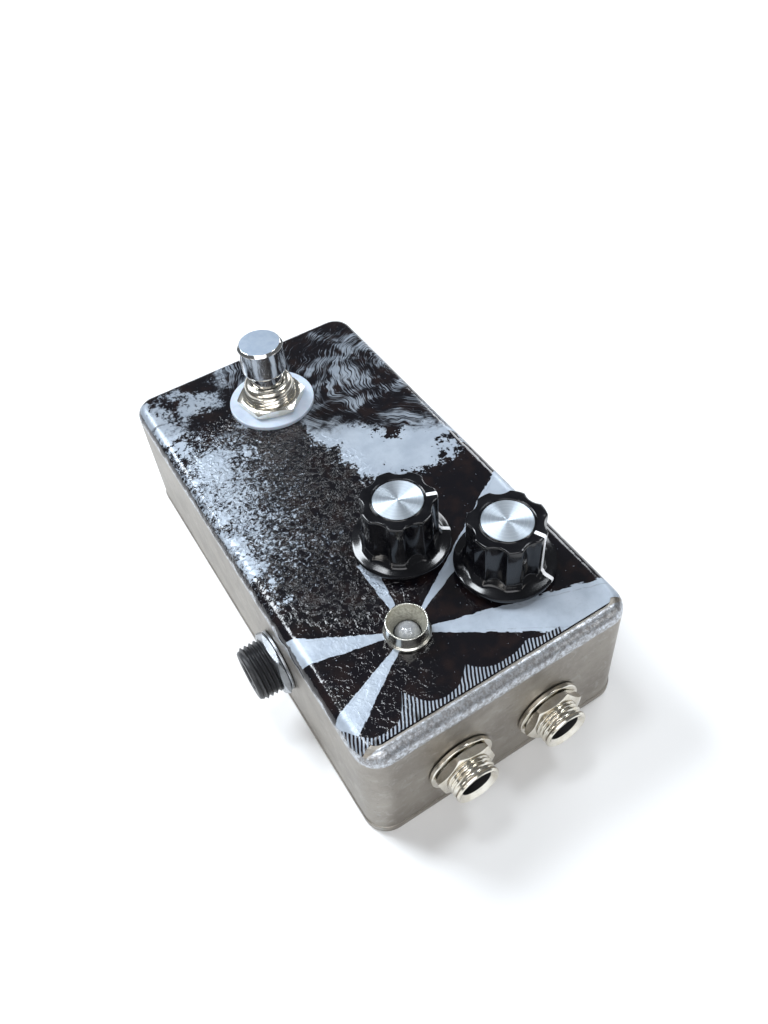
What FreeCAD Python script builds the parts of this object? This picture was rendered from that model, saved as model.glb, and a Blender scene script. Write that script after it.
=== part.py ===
import FreeCAD, Part
import math
import os
import re
import Sketcher

# A compact guitar effects pedal in a drafted die-cast box, in millimetres.
# Frame: the origin is the centre of the base plate's underside and +Z is up.
# +X is the player's right, where the power socket is. The two audio jacks leave along +Y and
# the footswitch stands at the -Y end. Each turned piece is drawn about its own Z axis and
# then placed, so that its outline reads as (radius, height) pairs.

SIZES = {
    # die-cast box and the plate that closes it from below
    "plate_length": 112.0,
    "plate_width": 60.0,
    "plate_thick": 2.0,
    "plate_corner": 5.0,
    "plate_rim": 0.5,
    "lip_height": 1.4,
    "lip_width": 1.2,
    "lip_gap": 0.15,
    "lip_root": 0.5,
    "box_length": 111.6,
    "box_width": 59.6,
    "box_top": 31.0,
    "box_draft": 1.0,
    "box_corner": 5.0,
    "shoulder": 2.7,
    "wall": 2.1,
    "roof": 2.2,
    "boss_radius": 4.2,
    "boss_x": 24.3,
    "boss_y": 50.3,
    "pilot_radius": 1.45,
    "pilot_depth": 12.0,
    "film_thick": 0.1,
    "film_inset": 3.0,
    "film_corner": 2.5,
    # countersunk base screws
    "screw_head": 2.9,
    "screw_head_depth": 1.5,
    "screw_shank": 1.4,
    "screw_length": 11.0,
    "screw_slot": 0.6,
    "screw_slot_depth": 0.9,
    # footswitch
    "switch_x": 1.0,
    "switch_y": -34.9,
    "switch_side": 17.2,
    "switch_base": 9.0,
    "switch_top": 25.5,
    "switch_frame": 1.0,
    "switch_flap": 7.0,
    "switch_well": 4.4,
    "switch_well_floor": 11.0,
    "switch_thread": 6.0,
    "switch_thread_root": 5.6,
    "switch_pitch": 1.0,
    "switch_bushing_top": 38.0,
    "switch_bushing_crown": 1.5,
    "switch_bore": 3.8,
    "nut_corner": 8.08,
    "nut_thick": 2.0,
    "tooth_radius": 8.6,
    "tooth_thick": 0.6,
    "nylon_radius": 9.95,
    "nylon_thick": 1.0,
    "button_radius": 5.15,
    "button_top": 48.5,
    "button_bottom": 41.0,
    "button_round": 2.4,
    "neck_radius": 3.75,
    "plunger_end": 19.0,
    "spring_radius": 3.0,
    "spring_wire": 0.35,
    "spring_pitch": 1.6,
    "lug_width": 2.2,
    "lug_thick": 0.8,
    "switch_lug": 3.8,
    "switch_lug_pitch": 5.0,
    # rotary controls
    "knob_1_x": -1.1,
    "knob_1_y": 18.6,
    "knob_1_turn": 158.0,
    "knob_2_x": -14.8,
    "knob_2_y": 34.4,
    "knob_2_turn": 115.5,
    "knob_gap": 1.2,
    "knob_height": 12.2,
    "skirt_radius": 10.0,
    "skirt_edge": 0.9,
    "skirt_bevel": 0.3,
    "grip_radius": 7.6,
    "grip_base": 3.0,
    "grip_bevel": 0.35,
    "flute_radius": 3.4,
    "flute_depth": 0.9,
    "flute_count": 7,
    "disc_radius": 4.9,
    "disc_depth": 0.4,
    "disc_groove": 0.12,
    "ring_width": 0.35,
    "ring_height": 0.12,
    "pointer_width": 0.75,
    "pointer_depth": 0.3,
    "recess_radius": 6.4,
    "recess_depth": 3.3,
    "insert_radius": 4.4,
    "insert_top": 9.2,
    "grub_radius": 1.5,
    "grub_height": 6.4,
    "grub_length": 3.4,
    "grub_socket": 0.75,
    "flat_distance": 2.4,
    "pot_radius": 8.25,
    "pot_height": 8.8,
    "pot_wafer": 1.4,
    "pot_bushing": 3.5,
    "pot_bushing_above": 3.8,
    "pot_pitch": 0.75,
    "pot_shaft": 3.0,
    "pot_clearance": 0.05,
    "pot_shaft_inside": 5.0,
    "pot_nut_corner": 5.77,
    "pot_washer": 5.9,
    "pot_washer_thick": 0.5,
    "pot_tongue": 12.0,
    "pot_lug_length": 4.0,
    "pot_lug_pitch": 4.5,
    # lamp in its bezel
    "lamp_x": 9.15,
    "lamp_y": 36.7,
    "bezel_flange": 4.55,
    "bezel_flange_thick": 0.8,
    "bezel_rim": 4.02,
    "bezel_rise": 3.8,
    "bezel_lip": 0.3,
    "bezel_shank": 3.9,
    "bezel_shank_depth": 9.0,
    "bezel_nut_corner": 6.35,
    "lamp_radius": 2.5,
    "lamp_flange": 2.9,
    "lamp_flange_thick": 1.0,
    "lamp_base": 25.0,
    "lamp_straight": 4.4,
    "lamp_lead_side": 0.5,
    "lamp_lead_length": 5.2,
    "lamp_lead_pitch": 2.54,
    # audio jacks
    "jack_1_x": 10.8,
    "jack_1_z": 13.0,
    "jack_2_x": -9.9,
    "jack_2_z": 11.8,
    "jack_face": 55.75,
    "jack_washer": 6.9,
    "jack_washer_thick": 0.9,
    "jack_nut_corner": 6.7,
    "jack_nut_thick": 2.0,
    "jack_thread": 4.75,
    "jack_thread_root": 4.35,
    "jack_pitch": 0.794,
    "jack_end": 61.9,
    "jack_chamfer": 0.6,
    "jack_bore": 3.2,
    "jack_mouth": 3.9,
    "jack_body_width": 15.4,
    "jack_body_height": 10.6,
    "jack_body_length": 21.0,
    "jack_inner": 53.2,
    "jack_body_bore": 3.6,
    "jack_lug_length": 4.0,
    "jack_lug_offset": 3.0,
    # power socket
    "dc_y": 19.3,
    "dc_z": 16.3,
    "dc_face": 29.68,
    "dc_washer": 6.6,
    "dc_washer_thick": 0.6,
    "dc_nut_corner": 7.6,
    "dc_nut_thick": 1.5,
    "dc_thread": 5.8,
    "dc_thread_root": 5.3,
    "dc_pitch": 1.0,
    "dc_end": 36.7,
    "dc_inner": 13.5,
    "dc_wall": 27.3,
    "dc_flange": 7.0,
    "dc_flange_thick": 1.6,
    "dc_bore": 3.0,
    "dc_bore_depth": 10.0,
    "dc_pin": 1.0,
    "dc_pin_length": 9.0,
    "dc_lug_short": 2.0,
    "dc_lug_long": 4.5,
    # circuit board and what it carries
    "board_length": 44.0,
    "board_width": 27.0,
    "board_thick": 1.6,
    "board_y": -7.5,
    "board_z": 9.0,
    "foam_length": 32.0,
    "foam_width": 18.0,
    "can_radius": 2.5,
    "can_height": 7.0,
    "film_cap_length": 7.2,
    "film_cap_width": 2.6,
    "film_cap_height": 6.2,
    "resistor_radius": 0.95,
    "resistor_length": 6.0,
    "chip_length": 9.6,
    "chip_width": 6.4,
    "chip_height": 4.4,
    "wire_radius": 0.6,
    "wire_bend": 2.0,
    # clearance round a thread, in its nut and in its drilled hole
    "thread_clearance": 0.04,
    "drill_clearance": 0.1,
}

doc = FreeCAD.newDocument("effects_pedal")
sheet = doc.addObject("Spreadsheet::Sheet", "Sizes")
for row, (alias, amount) in enumerate(SIZES.items(), start=1):
    sheet.set(f"A{row}", alias)
    sheet.set(f"B{row}", str(amount))
    sheet.setAlias(f"B{row}", alias)
doc.recompute()

sub_parts = []

Z_AXIS = FreeCAD.Vector(0, 0, 1)
UPRIGHT = FreeCAD.Rotation()
TOWARDS_Y = FreeCAD.Rotation(FreeCAD.Vector(1, 0, 0), -90)
TOWARDS_X = FreeCAD.Rotation(FreeCAD.Vector(0, 1, 0), 90)

# heights that many pieces share, as formulas of the sheet's cells
ROOF_UNDERSIDE = "(box_top - roof)"
PANEL = "(box_top + film_thick)"
BOARD_TOP = "(board_z + board_thick)"


def size(alias):
    """Number held by one of the sheet's cells."""
    return sheet.get(alias)


def formula(text):
    """Expression with the sheet named before each of its cells."""
    return re.sub(r"[a-z][a-z_0-9]*", lambda word: "Sizes." + word.group(), str(text))


def bind(thing, formulas):
    """Tie properties of a thing to formulas."""
    for name, text in formulas.items():
        thing.setExpression(name, formula(text))
    return thing


def put(thing, x="0", y="0", z="0", turn=UPRIGHT):
    """Turn a thing, and tie its place to formulas."""
    thing.Placement = FreeCAD.Placement(FreeCAD.Vector(), turn)
    return bind(thing, {"Placement.Base.x": x, "Placement.Base.y": y, "Placement.Base.z": z})


def keep(thing, label):
    """Give a finished sub-part its name and list it for export."""
    thing.Label = label
    sub_parts.append(thing)
    return thing


def cylinder(name, radius, height, x="0", y="0", z="0", turn=UPRIGHT):
    solid = doc.addObject("Part::Cylinder", name)
    bind(solid, {"Radius": radius, "Height": height})
    return put(solid, x, y, z, turn)


def block(name, length, width, height, x="0", y="0", z="0"):
    """Box centred on x and y, with its underside at z."""
    solid = doc.addObject("Part::Box", name)
    bind(solid, {"Length": length, "Width": width, "Height": height})
    return put(solid, f"{x} - ({length}) / 2", f"{y} - ({width}) / 2", z)


def fuse(name, pieces):
    joined = doc.addObject("Part::MultiFuse", name)
    joined.Shapes = pieces
    return joined


def group(name, pieces):
    """Separate solids that share one node."""
    together = doc.addObject("Part::Compound", name)
    together.Links = pieces
    return together


def cut(name, base, tool):
    result = doc.addObject("Part::Cut", name)
    result.Base = base
    result.Tool = tool
    return result


def common(name, first, second):
    result = doc.addObject("Part::Common", name)
    result.Base = first
    result.Tool = second
    return result


def origin_plane(body, role):
    return next(plane for plane in body.Origin.OriginFeatures if plane.Role == role)


def new_sketch(body, name, role, height="0"):
    """Sketch on one of the body's origin planes, raised along that plane's normal."""
    sketch = body.newObject("Sketcher::SketchObject", name)
    sketch.AttachmentSupport = [(origin_plane(body, role), "")]
    sketch.MapMode = "FlatFace"
    sketch.setExpression("AttachmentOffset.Base.z", formula(height))
    return sketch


def tie_point(sketch, index, position, across, up):
    """Tie one point of a sketch's geometry to its (across, up) formulas."""
    for kind, text, axis in (("DistanceX", across, -2), ("DistanceY", up, -1)):
        if text == "0":
            sketch.addConstraint(Sketcher.Constraint("PointOnObject", index, position, axis))
        else:
            tie = Sketcher.Constraint(kind, -1, 1, index, position, 1.0)
            place = sketch.addConstraint(tie)
            sketch.setExpression(f"Constraints[{place}]", formula(text))


def draw_outline(sketch, corners):
    """Closed outline of straight lines through corners given as (across, up) formulas."""
    count = len(corners)
    start = [FreeCAD.Vector(10 + 5 * math.cos(2 * math.pi * index / count),
                            5 * math.sin(2 * math.pi * index / count), 0)
             for index in range(count)]
    for index in range(count):
        sketch.addGeometry(Part.LineSegment(start[index], start[(index + 1) % count]), False)
    for index in range(count):
        sketch.addConstraint(Sketcher.Constraint("Coincident", index, 2, (index + 1) % count, 1))
    for index, (across, up) in enumerate(corners):
        tie_point(sketch, index, 1, across, up)


def draw_circles(sketch, circles):
    """Circles given as formulas (across, up, radius)."""
    for index, (across, up, radius) in enumerate(circles):
        centre = FreeCAD.Vector(10 * index + 1, 1, 0)
        sketch.addGeometry(Part.Circle(centre, Z_AXIS, 1.0), False)
        tie_point(sketch, index, 3, across, up)
        place = sketch.addConstraint(Sketcher.Constraint("Radius", index, 1.0))
        sketch.setExpression(f"Constraints[{place}]", formula(radius))


def rectangle(half_across, half_up):
    return [
        (f"-({half_across})", f"-({half_up})"),
        (half_across, f"-({half_up})"),
        (half_across, half_up),
        (f"-({half_across})", half_up),
    ]


def lathe(name, outline):
    """Body turned about its Z axis from a closed outline of (radius, height) formulas."""
    body = doc.addObject("PartDesign::Body", name)
    sketch = new_sketch(body, name + "_outline", "XZ_Plane")
    draw_outline(sketch, outline)
    turned = body.newObject("PartDesign::Revolution", name + "_turned")
    turned.Profile = sketch
    turned.ReferenceAxis = (sketch, ["V_Axis"])
    turned.Angle = 360.0
    sketch.Visibility = False
    doc.recompute()
    return body


def ring(name, outer, inner, height):
    return lathe(name, [(inner, "0"), (outer, "0"), (outer, height), (inner, height)])


def thread(crest, root, pitch, start, turns):
    """Outline points up the outside of a thread, from its first root."""
    points = []
    for turn in range(turns):
        low = f"{start} + {turn} * {pitch}"
        points.append((root, low))
        points.append((crest, f"{low} + 0.4 * {pitch}"))
        points.append((crest, f"{low} + 0.6 * {pitch}"))
    points.append((root, f"{start} + {turns} * {pitch}"))
    return points


def hex_nut(name, corner, height, bore, turn=0):
    """Hexagonal nut standing at zero, its upper corners bevelled, turned about its axis."""
    prism = doc.addObject("Part::Prism", name + "_hexagon")
    prism.Polygon = 6
    prism.Placement = FreeCAD.Placement(FreeCAD.Vector(), FreeCAD.Rotation(Z_AXIS, turn))
    bind(prism, {"Circumradius": corner, "Height": height})
    bevel = doc.addObject("Part::Cone", name + "_bevel")
    bind(bevel, {"Radius1": f"0.93 * {corner} + 1.7 * {height}", "Radius2": f"0.93 * {corner}"})
    bind(bevel, {"Height": height})
    blank = common(name + "_blank", prism, bevel)
    hole = cylinder(name + "_hole", bore, f"{height} + 2", z="-1")
    return cut(name, blank, hole)


def cast_box():
    """Drafted shell, open below, with a screw boss in each corner, before it is drilled."""
    body = doc.addObject("PartDesign::Body", "cast_box")
    outside = new_sketch(body, "box_outline", "XY_Plane", "plate_thick")
    draw_outline(outside, rectangle("box_width / 2", "box_length / 2"))
    pad = body.newObject("PartDesign::Pad", "box_block")
    pad.Profile = outside
    bind(pad, {"Length": "box_top - plate_thick", "TaperAngle": "-box_draft"})
    doc.recompute()

    corners = body.newObject("PartDesign::Fillet", "box_corners")
    corners.Base = (pad, rising_edges(pad.Shape))
    bind(corners, {"Radius": "box_corner"})
    doc.recompute()
    shoulders = body.newObject("PartDesign::Fillet", "box_shoulders")
    shoulders.Base = (corners, edges_at(corners.Shape, size("box_top")))
    bind(shoulders, {"Radius": "shoulder"})
    doc.recompute()

    solid_volume = shoulders.Shape.Volume
    inside = new_sketch(body, "cavity_outline", "XY_Plane", "plate_thick")
    draw_outline(inside, rectangle("box_width / 2 - wall", "box_length / 2 - wall"))
    cavity = body.newObject("PartDesign::Pocket", "cavity")
    cavity.Profile = inside
    cavity.Reversed = True
    bind(cavity, {"Length": "box_top - roof - plate_thick", "TaperAngle": "-box_draft"})
    doc.recompute()
    require(cavity.Shape.Volume < 0.6 * solid_volume, "the cavity removed too little")

    posts = new_sketch(body, "boss_circles", "XY_Plane", "plate_thick")
    draw_circles(posts, [(x, y, "boss_radius") for x, y in boss_places()])
    bosses = body.newObject("PartDesign::Pad", "bosses")
    bosses.Profile = posts
    bind(bosses, {"Length": "box_top - roof - plate_thick"})
    doc.recompute()
    posted_volume = bosses.Shape.Volume

    pilots = new_sketch(body, "pilot_circles", "XY_Plane", "plate_thick")
    draw_circles(pilots, [(x, y, "pilot_radius") for x, y in boss_places()])
    drilled = body.newObject("PartDesign::Pocket", "pilot_holes")
    drilled.Profile = pilots
    drilled.Reversed = True
    bind(drilled, {"Length": "pilot_depth"})
    doc.recompute()
    require(drilled.Shape.Volume < posted_volume - 100, "the pilot holes removed too little")
    return body


def rising_edges(shape):
    """Names of the edges that climb from the bottom to the top of a shape."""
    span = shape.BoundBox.ZLength
    names = []
    for index, edge in enumerate(shape.Edges, start=1):
        if edge.BoundBox.ZLength > 0.9 * span:
            names.append(f"Edge{index}")
    return names


def edges_at(shape, height):
    """Names of the edges that lie level at one height."""
    names = []
    for index, edge in enumerate(shape.Edges, start=1):
        box = edge.BoundBox
        if abs(box.ZMin - height) < 0.01 and abs(box.ZMax - height) < 0.01:
            names.append(f"Edge{index}")
    return names


def boss_places():
    return [(f"{sx}boss_x", f"{sy}boss_y") for sx in ("", "-") for sy in ("", "-")]


def require(truth, message):
    if not truth:
        raise RuntimeError(message)


def panel_drills():
    """Cutters for every hole through the top, as they pass through roof and film."""
    low = f"{ROOF_UNDERSIDE} - 1"
    deep = "roof + 3"
    drills = [
        cylinder("switch_drill", "switch_thread + drill_clearance", deep,
                 "switch_x", "switch_y", low),
        cylinder("lamp_drill", "bezel_shank + drill_clearance", deep, "lamp_x", "lamp_y", low),
    ]
    for number in (1, 2):
        x, y = f"knob_{number}_x", f"knob_{number}_y"
        drills.append(cylinder(f"pot_drill_{number}", "pot_bushing + drill_clearance", deep,
                               x, y, low))
    return drills


def enclosure():
    drills = panel_drills()
    inside = "(wall + 4)"
    reach = f"{inside} + 4"
    for number in (1, 2):
        x, z = f"jack_{number}_x", f"jack_{number}_z"
        drills.append(cylinder(f"jack_drill_{number}", "jack_thread + drill_clearance", reach,
                               x, f"box_length / 2 - {inside}", z, TOWARDS_Y))
    drills.append(cylinder("dc_drill", "dc_thread + drill_clearance", reach,
                           f"box_width / 2 - {inside}", "dc_y", "dc_z", TOWARDS_X))
    keep(cut("enclosure", cast_box(), fuse("enclosure_drills", drills)), "enclosure")


def base_plate():
    """Flat closing plate with rounded corners, a locating lip and countersunk holes."""
    body = doc.addObject("PartDesign::Body", "plate_blank")
    outline = new_sketch(body, "plate_outline", "XY_Plane")
    draw_outline(outline, rectangle("plate_width / 2", "plate_length / 2"))
    pad = body.newObject("PartDesign::Pad", "plate_slab")
    pad.Profile = outline
    bind(pad, {"Length": "plate_thick"})
    doc.recompute()
    corners = body.newObject("PartDesign::Fillet", "plate_corners")
    corners.Base = (pad, rising_edges(pad.Shape))
    bind(corners, {"Radius": "plate_corner"})
    doc.recompute()
    rims = body.newObject("PartDesign::Fillet", "plate_rims")
    level = edges_at(corners.Shape, 0) + edges_at(corners.Shape, size("plate_thick"))
    rims.Base = (corners, level)
    bind(rims, {"Radius": "plate_rim"})
    doc.recompute()

    pieces = [body]
    side_x = "(box_width / 2 - wall - lip_gap - lip_width / 2)"
    side_y = "(box_length / 2 - wall - lip_gap - lip_width / 2)"
    long_run = "2 * (boss_y - boss_radius - 2)"
    short_run = "2 * (boss_x - boss_radius - 2)"
    for sign in ("", "-"):
        pieces.append(block("long_lip", "lip_width", long_run, "lip_height + lip_root",
                            f"{sign}{side_x}", "0", "plate_thick - lip_root"))
        pieces.append(block("short_lip", short_run, "lip_width", "lip_height + lip_root",
                            "0", f"{sign}{side_y}", "plate_thick - lip_root"))
    plate = fuse("plate_with_lips", pieces)

    holes = []
    for x, y in boss_places():
        holes.append(cylinder("plate_hole", "pilot_radius + 0.15", "plate_thick + 2", x, y, "-1"))
        sink = doc.addObject("Part::Cone", "countersink")
        bind(sink, {"Radius1": "screw_head + 0.05", "Radius2": "screw_shank + 0.05"})
        bind(sink, {"Height": "screw_head_depth"})
        holes.append(put(sink, x, y, "0"))
    keep(cut("base_plate", plate, fuse("plate_holes", holes)), "base_plate")


def base_screws():
    """Four countersunk screws with crossed recesses, driven up from below."""
    screws = []
    for x, y in boss_places():
        blank = lathe("screw_blank", [
            ("0", "0"),
            ("screw_head", "0"),
            ("screw_shank", "screw_head_depth"),
            ("screw_shank", "screw_length - 0.8"),
            ("screw_shank - 0.6", "screw_length"),
            ("0", "screw_length"),
        ])
        reach = "1.3 * screw_head"
        first = block("recess", reach, "screw_slot", "screw_slot_depth + 1", z="-1")
        second = block("recess", "screw_slot", reach, "screw_slot_depth + 1", z="-1")
        screw = cut("screw", blank, fuse("recesses", [first, second]))
        screws.append(put(screw, x, y, "0"))
    keep(group("base_screws", screws), "base_screws")


def top_film():
    """Printed film on the flat of the top, holed where the controls come through."""
    body = doc.addObject("PartDesign::Body", "film_blank")
    outline = new_sketch(body, "film_outline", "XY_Plane", "box_top")
    draw_outline(outline, rectangle("box_width / 2 - film_inset - 0.6",
                                    "box_length / 2 - film_inset - 0.6"))
    pad = body.newObject("PartDesign::Pad", "film_sheet")
    pad.Profile = outline
    bind(pad, {"Length": "film_thick"})
    doc.recompute()
    corners = body.newObject("PartDesign::Fillet", "film_corners")
    corners.Base = (pad, rising_edges(pad.Shape))
    bind(corners, {"Radius": "film_corner"})
    doc.recompute()
    keep(cut("top_film", body, fuse("film_holes", panel_drills())), "top_film")


def footswitch():
    x, y = "switch_x", "switch_y"

    shell = block("switch_shell", "switch_side", "switch_side",
                  "switch_top - switch_frame - switch_base", x, y, "switch_base")
    well = cylinder("switch_well", "switch_well", "30", x, y, "switch_well_floor")
    keep(cut("footswitch_body", shell, well), "footswitch_body")

    top = block("frame_top", "switch_side + 2 * lug_thick", "switch_side", "switch_frame",
                x, y, "switch_top - switch_frame")
    flaps = []
    for sign in ("+", "-"):
        flaps.append(block("frame_flap", "lug_thick", "0.6 * switch_side", "switch_flap",
                           f"{x} {sign} (switch_side + lug_thick) / 2", y,
                           "switch_top - switch_flap"))
    hole = cylinder("frame_hole", "switch_well", "4", x, y, "switch_top - 2")
    frame = cut("frame_pressing", fuse("frame_blank", [top] + flaps), hole)
    keep(frame, "footswitch_frame")

    rise = "(switch_bushing_top - switch_top)"
    crown = "switch_bushing_crown"
    threads = thread("switch_thread", "switch_thread_root", "switch_pitch", "0", 11)
    bushing = lathe("bushing", [("switch_bore", "0")] + threads + [
        ("switch_thread", f"{rise} - {crown}"),
        ("switch_thread - 0.15", f"{rise} - 0.62 * {crown}"),
        ("switch_thread - 0.5", f"{rise} - 0.25 * {crown}"),
        ("switch_thread - 1.1", rise),
        ("switch_bore + 0.3", rise),
        ("switch_bore", f"{rise} - 0.3"),
    ])
    keep(put(bushing, x, y, "switch_top"), "footswitch_bushing")

    nut_bore = "switch_thread + thread_clearance"
    upper = hex_nut("switch_nut", "nut_corner", "nut_thick", nut_bore, 12)
    keep(put(upper, x, y, f"{PANEL} + nylon_thick"), "footswitch_nut")
    lower = hex_nut("switch_lower_nut", "nut_corner", "nut_thick", nut_bore, 30)
    keep(put(lower, x, y, f"{ROOF_UNDERSIDE} - tooth_thick - nut_thick"), "footswitch_lock_nut")
    toothed = ring("tooth_ring", "tooth_radius", nut_bore, "tooth_thick")
    keep(put(toothed, x, y, f"{ROOF_UNDERSIDE} - tooth_thick"), "footswitch_tooth_washer")

    nylon = lathe("nylon_ring", [
        (nut_bore, "0"),
        ("nylon_radius", "0"),
        ("nylon_radius", "nylon_thick - 0.25"),
        ("nylon_radius - 0.25", "nylon_thick"),
        (nut_bore, "nylon_thick"),
    ])
    keep(put(nylon, x, y, PANEL), "nylon_washer")

    button = lathe("button", [
        ("0", "plunger_end"),
        ("neck_radius", "plunger_end"),
        ("neck_radius", "button_bottom"),
        ("button_radius - 0.8", "button_bottom + 0.12 * button_round"),
        ("button_radius - 0.3", "button_bottom + 0.4 * button_round"),
        ("button_radius - 0.08", "button_bottom + 0.7 * button_round"),
        ("button_radius", "button_bottom + button_round"),
        ("button_radius", "button_top - 0.9"),
        ("button_radius - 0.25", "button_top - 0.3"),
        ("button_radius - 0.7", "button_top"),
        ("0", "button_top"),
    ])
    keep(put(button, x, y, "0"), "footswitch_button")

    keep(switch_spring(), "footswitch_spring")

    lugs = []
    for column in (-1, 0, 1):
        for line in (-1, 0, 1):
            lugs.append(block("switch_lug", "lug_thick", "lug_width", "switch_lug",
                              f"{x} + {column} * switch_lug_pitch",
                              f"{y} + {line} * switch_lug_pitch", "switch_base - switch_lug"))
    keep(group("switch_lugs", lugs), "footswitch_lugs")


def switch_spring():
    """Coil of wire between the well's floor and the plunger's end, in flat facets."""
    wire = size("spring_wire")
    coil_radius = size("spring_radius")
    rise = size("plunger_end") - size("switch_well_floor") - 2 * wire
    turns = rise / size("spring_pitch")
    sides = 6
    steps = int(16 * turns)
    rings = []
    for step in range(steps + 1):
        angle = 2 * math.pi * turns * step / steps
        corners = []
        for side in range(sides):
            around = 2 * math.pi * side / sides
            reach = coil_radius + wire * math.cos(around)
            height = rise * step / steps + wire * math.sin(around)
            corners.append(FreeCAD.Vector(reach * math.cos(angle), reach * math.sin(angle), height))
        rings.append(corners)
    faces = [flat_face(rings[0]), flat_face(rings[-1])]
    for low, high in zip(rings, rings[1:]):
        for side in range(sides):
            beside = (side + 1) % sides
            faces.append(flat_face([low[side], low[beside], high[beside]]))
            faces.append(flat_face([low[side], high[beside], high[side]]))
    spring = doc.addObject("Part::Feature", "spring")
    solid = Part.Solid(Part.Shell(faces))
    if solid.Volume < 0:
        solid.reverse()
    spring.Shape = solid
    return put(spring, "switch_x", "switch_y", "switch_well_floor + spring_wire")


def flat_face(corners):
    return Part.Face(Part.makePolygon(corners + corners[:1]))


def knob_place(thing, number):
    """Set a knob's piece on its shaft, with the pointer where it rests.

    A knob is drawn with one flute towards +X, so its pointer lies half a step round from there.
    """
    angle = size(f"knob_{number}_turn") - half_step()
    rest = FreeCAD.Rotation(Z_AXIS, angle)
    return put(thing, f"knob_{number}_x", f"knob_{number}_y", f"{PANEL} + knob_gap", rest)


def half_step():
    """Angle in degrees from the middle of a flute to the middle of the land beside it."""
    return 180 / size("flute_count")


def grub_turn():
    """Rotation from +X to the flute that the grub screw comes out of."""
    return FreeCAD.Rotation(Z_AXIS, 4 * half_step())


def knob_blank(name):
    """Skirted, fluted grip with a hollow underside, one flute towards +X."""
    crest = "knob_height"
    groove = "(disc_radius + disc_groove)"
    body = lathe(name, [
        ("recess_radius", "0"),
        ("skirt_radius - 0.15", "0"),
        ("skirt_radius", "0.15"),
        ("skirt_radius", "skirt_edge"),
        ("skirt_radius - skirt_bevel", "skirt_edge + skirt_bevel"),
        ("grip_radius + 0.35", "grip_base - 0.15"),
        ("grip_radius", "grip_base + 0.2"),
        ("grip_radius", f"{crest} - grip_bevel"),
        ("grip_radius - grip_bevel", crest),
        (f"{groove} + ring_width + 0.1", f"{crest} - 0.08"),
        (f"{groove} + ring_width", f"{crest} + ring_height"),
        (groove, f"{crest} + ring_height"),
        (groove, f"{crest} - disc_depth"),
        ("0", f"{crest} - disc_depth"),
        ("0", "insert_top"),
        ("insert_radius", "insert_top"),
        ("insert_radius", "recess_depth"),
        ("recess_radius", "recess_depth"),
    ])
    before = body.Shape.Volume
    sketch = new_sketch(body, name + "_flute_circle", "XY_Plane", "grip_base + 0.2")
    reach = "grip_radius - flute_depth + flute_radius"
    draw_circles(sketch, [(reach, "0", "flute_radius")])
    flute = body.newObject("PartDesign::Pocket", name + "_flute")
    flute.Profile = sketch
    flute.Reversed = True
    bind(flute, {"Length": "knob_height"})
    doc.recompute()
    require(flute.Shape.Volume < before - 5, "the flute removed too little")
    flutes = body.newObject("PartDesign::PolarPattern", name + "_flutes")
    flutes.Originals = [flute]
    flutes.Axis = (sketch, ["N_Axis"])
    flutes.Angle = 360.0
    bind(flutes, {"Occurrences": "flute_count"})
    body.Tip = flutes
    doc.recompute()
    return body


def pointer_slabs(name):
    """Three shallow slabs that mark the pointer on the top, the grip's side and the skirt."""
    depth = "pointer_depth"
    inner = "(disc_radius + disc_groove + ring_width + 0.1)"
    skirt_rise = "(grip_base + 0.2 - skirt_edge)"
    top = block(name + "_top", f"grip_radius - {inner} + 1", "pointer_width", f"{depth} + 1",
                f"(grip_radius + {inner} + 1) / 2", "0", f"knob_height - {depth}")
    side = block(name + "_side", f"{depth} + 1", "pointer_width",
                 "knob_height - grip_base", f"grip_radius - {depth} + ({depth} + 1) / 2",
                 "0", "grip_base + 0.1")
    skirt = block(name + "_skirt", "skirt_radius - grip_radius + 0.6", "pointer_width",
                  f"{skirt_rise} + 0.1", "(skirt_radius + grip_radius) / 2", "0",
                  "skirt_edge - 0.1")
    slabs = fuse(name + "_slabs", [top, side, skirt])
    slabs.Placement = FreeCAD.Placement(FreeCAD.Vector(), FreeCAD.Rotation(Z_AXIS, half_step()))
    return slabs


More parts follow.
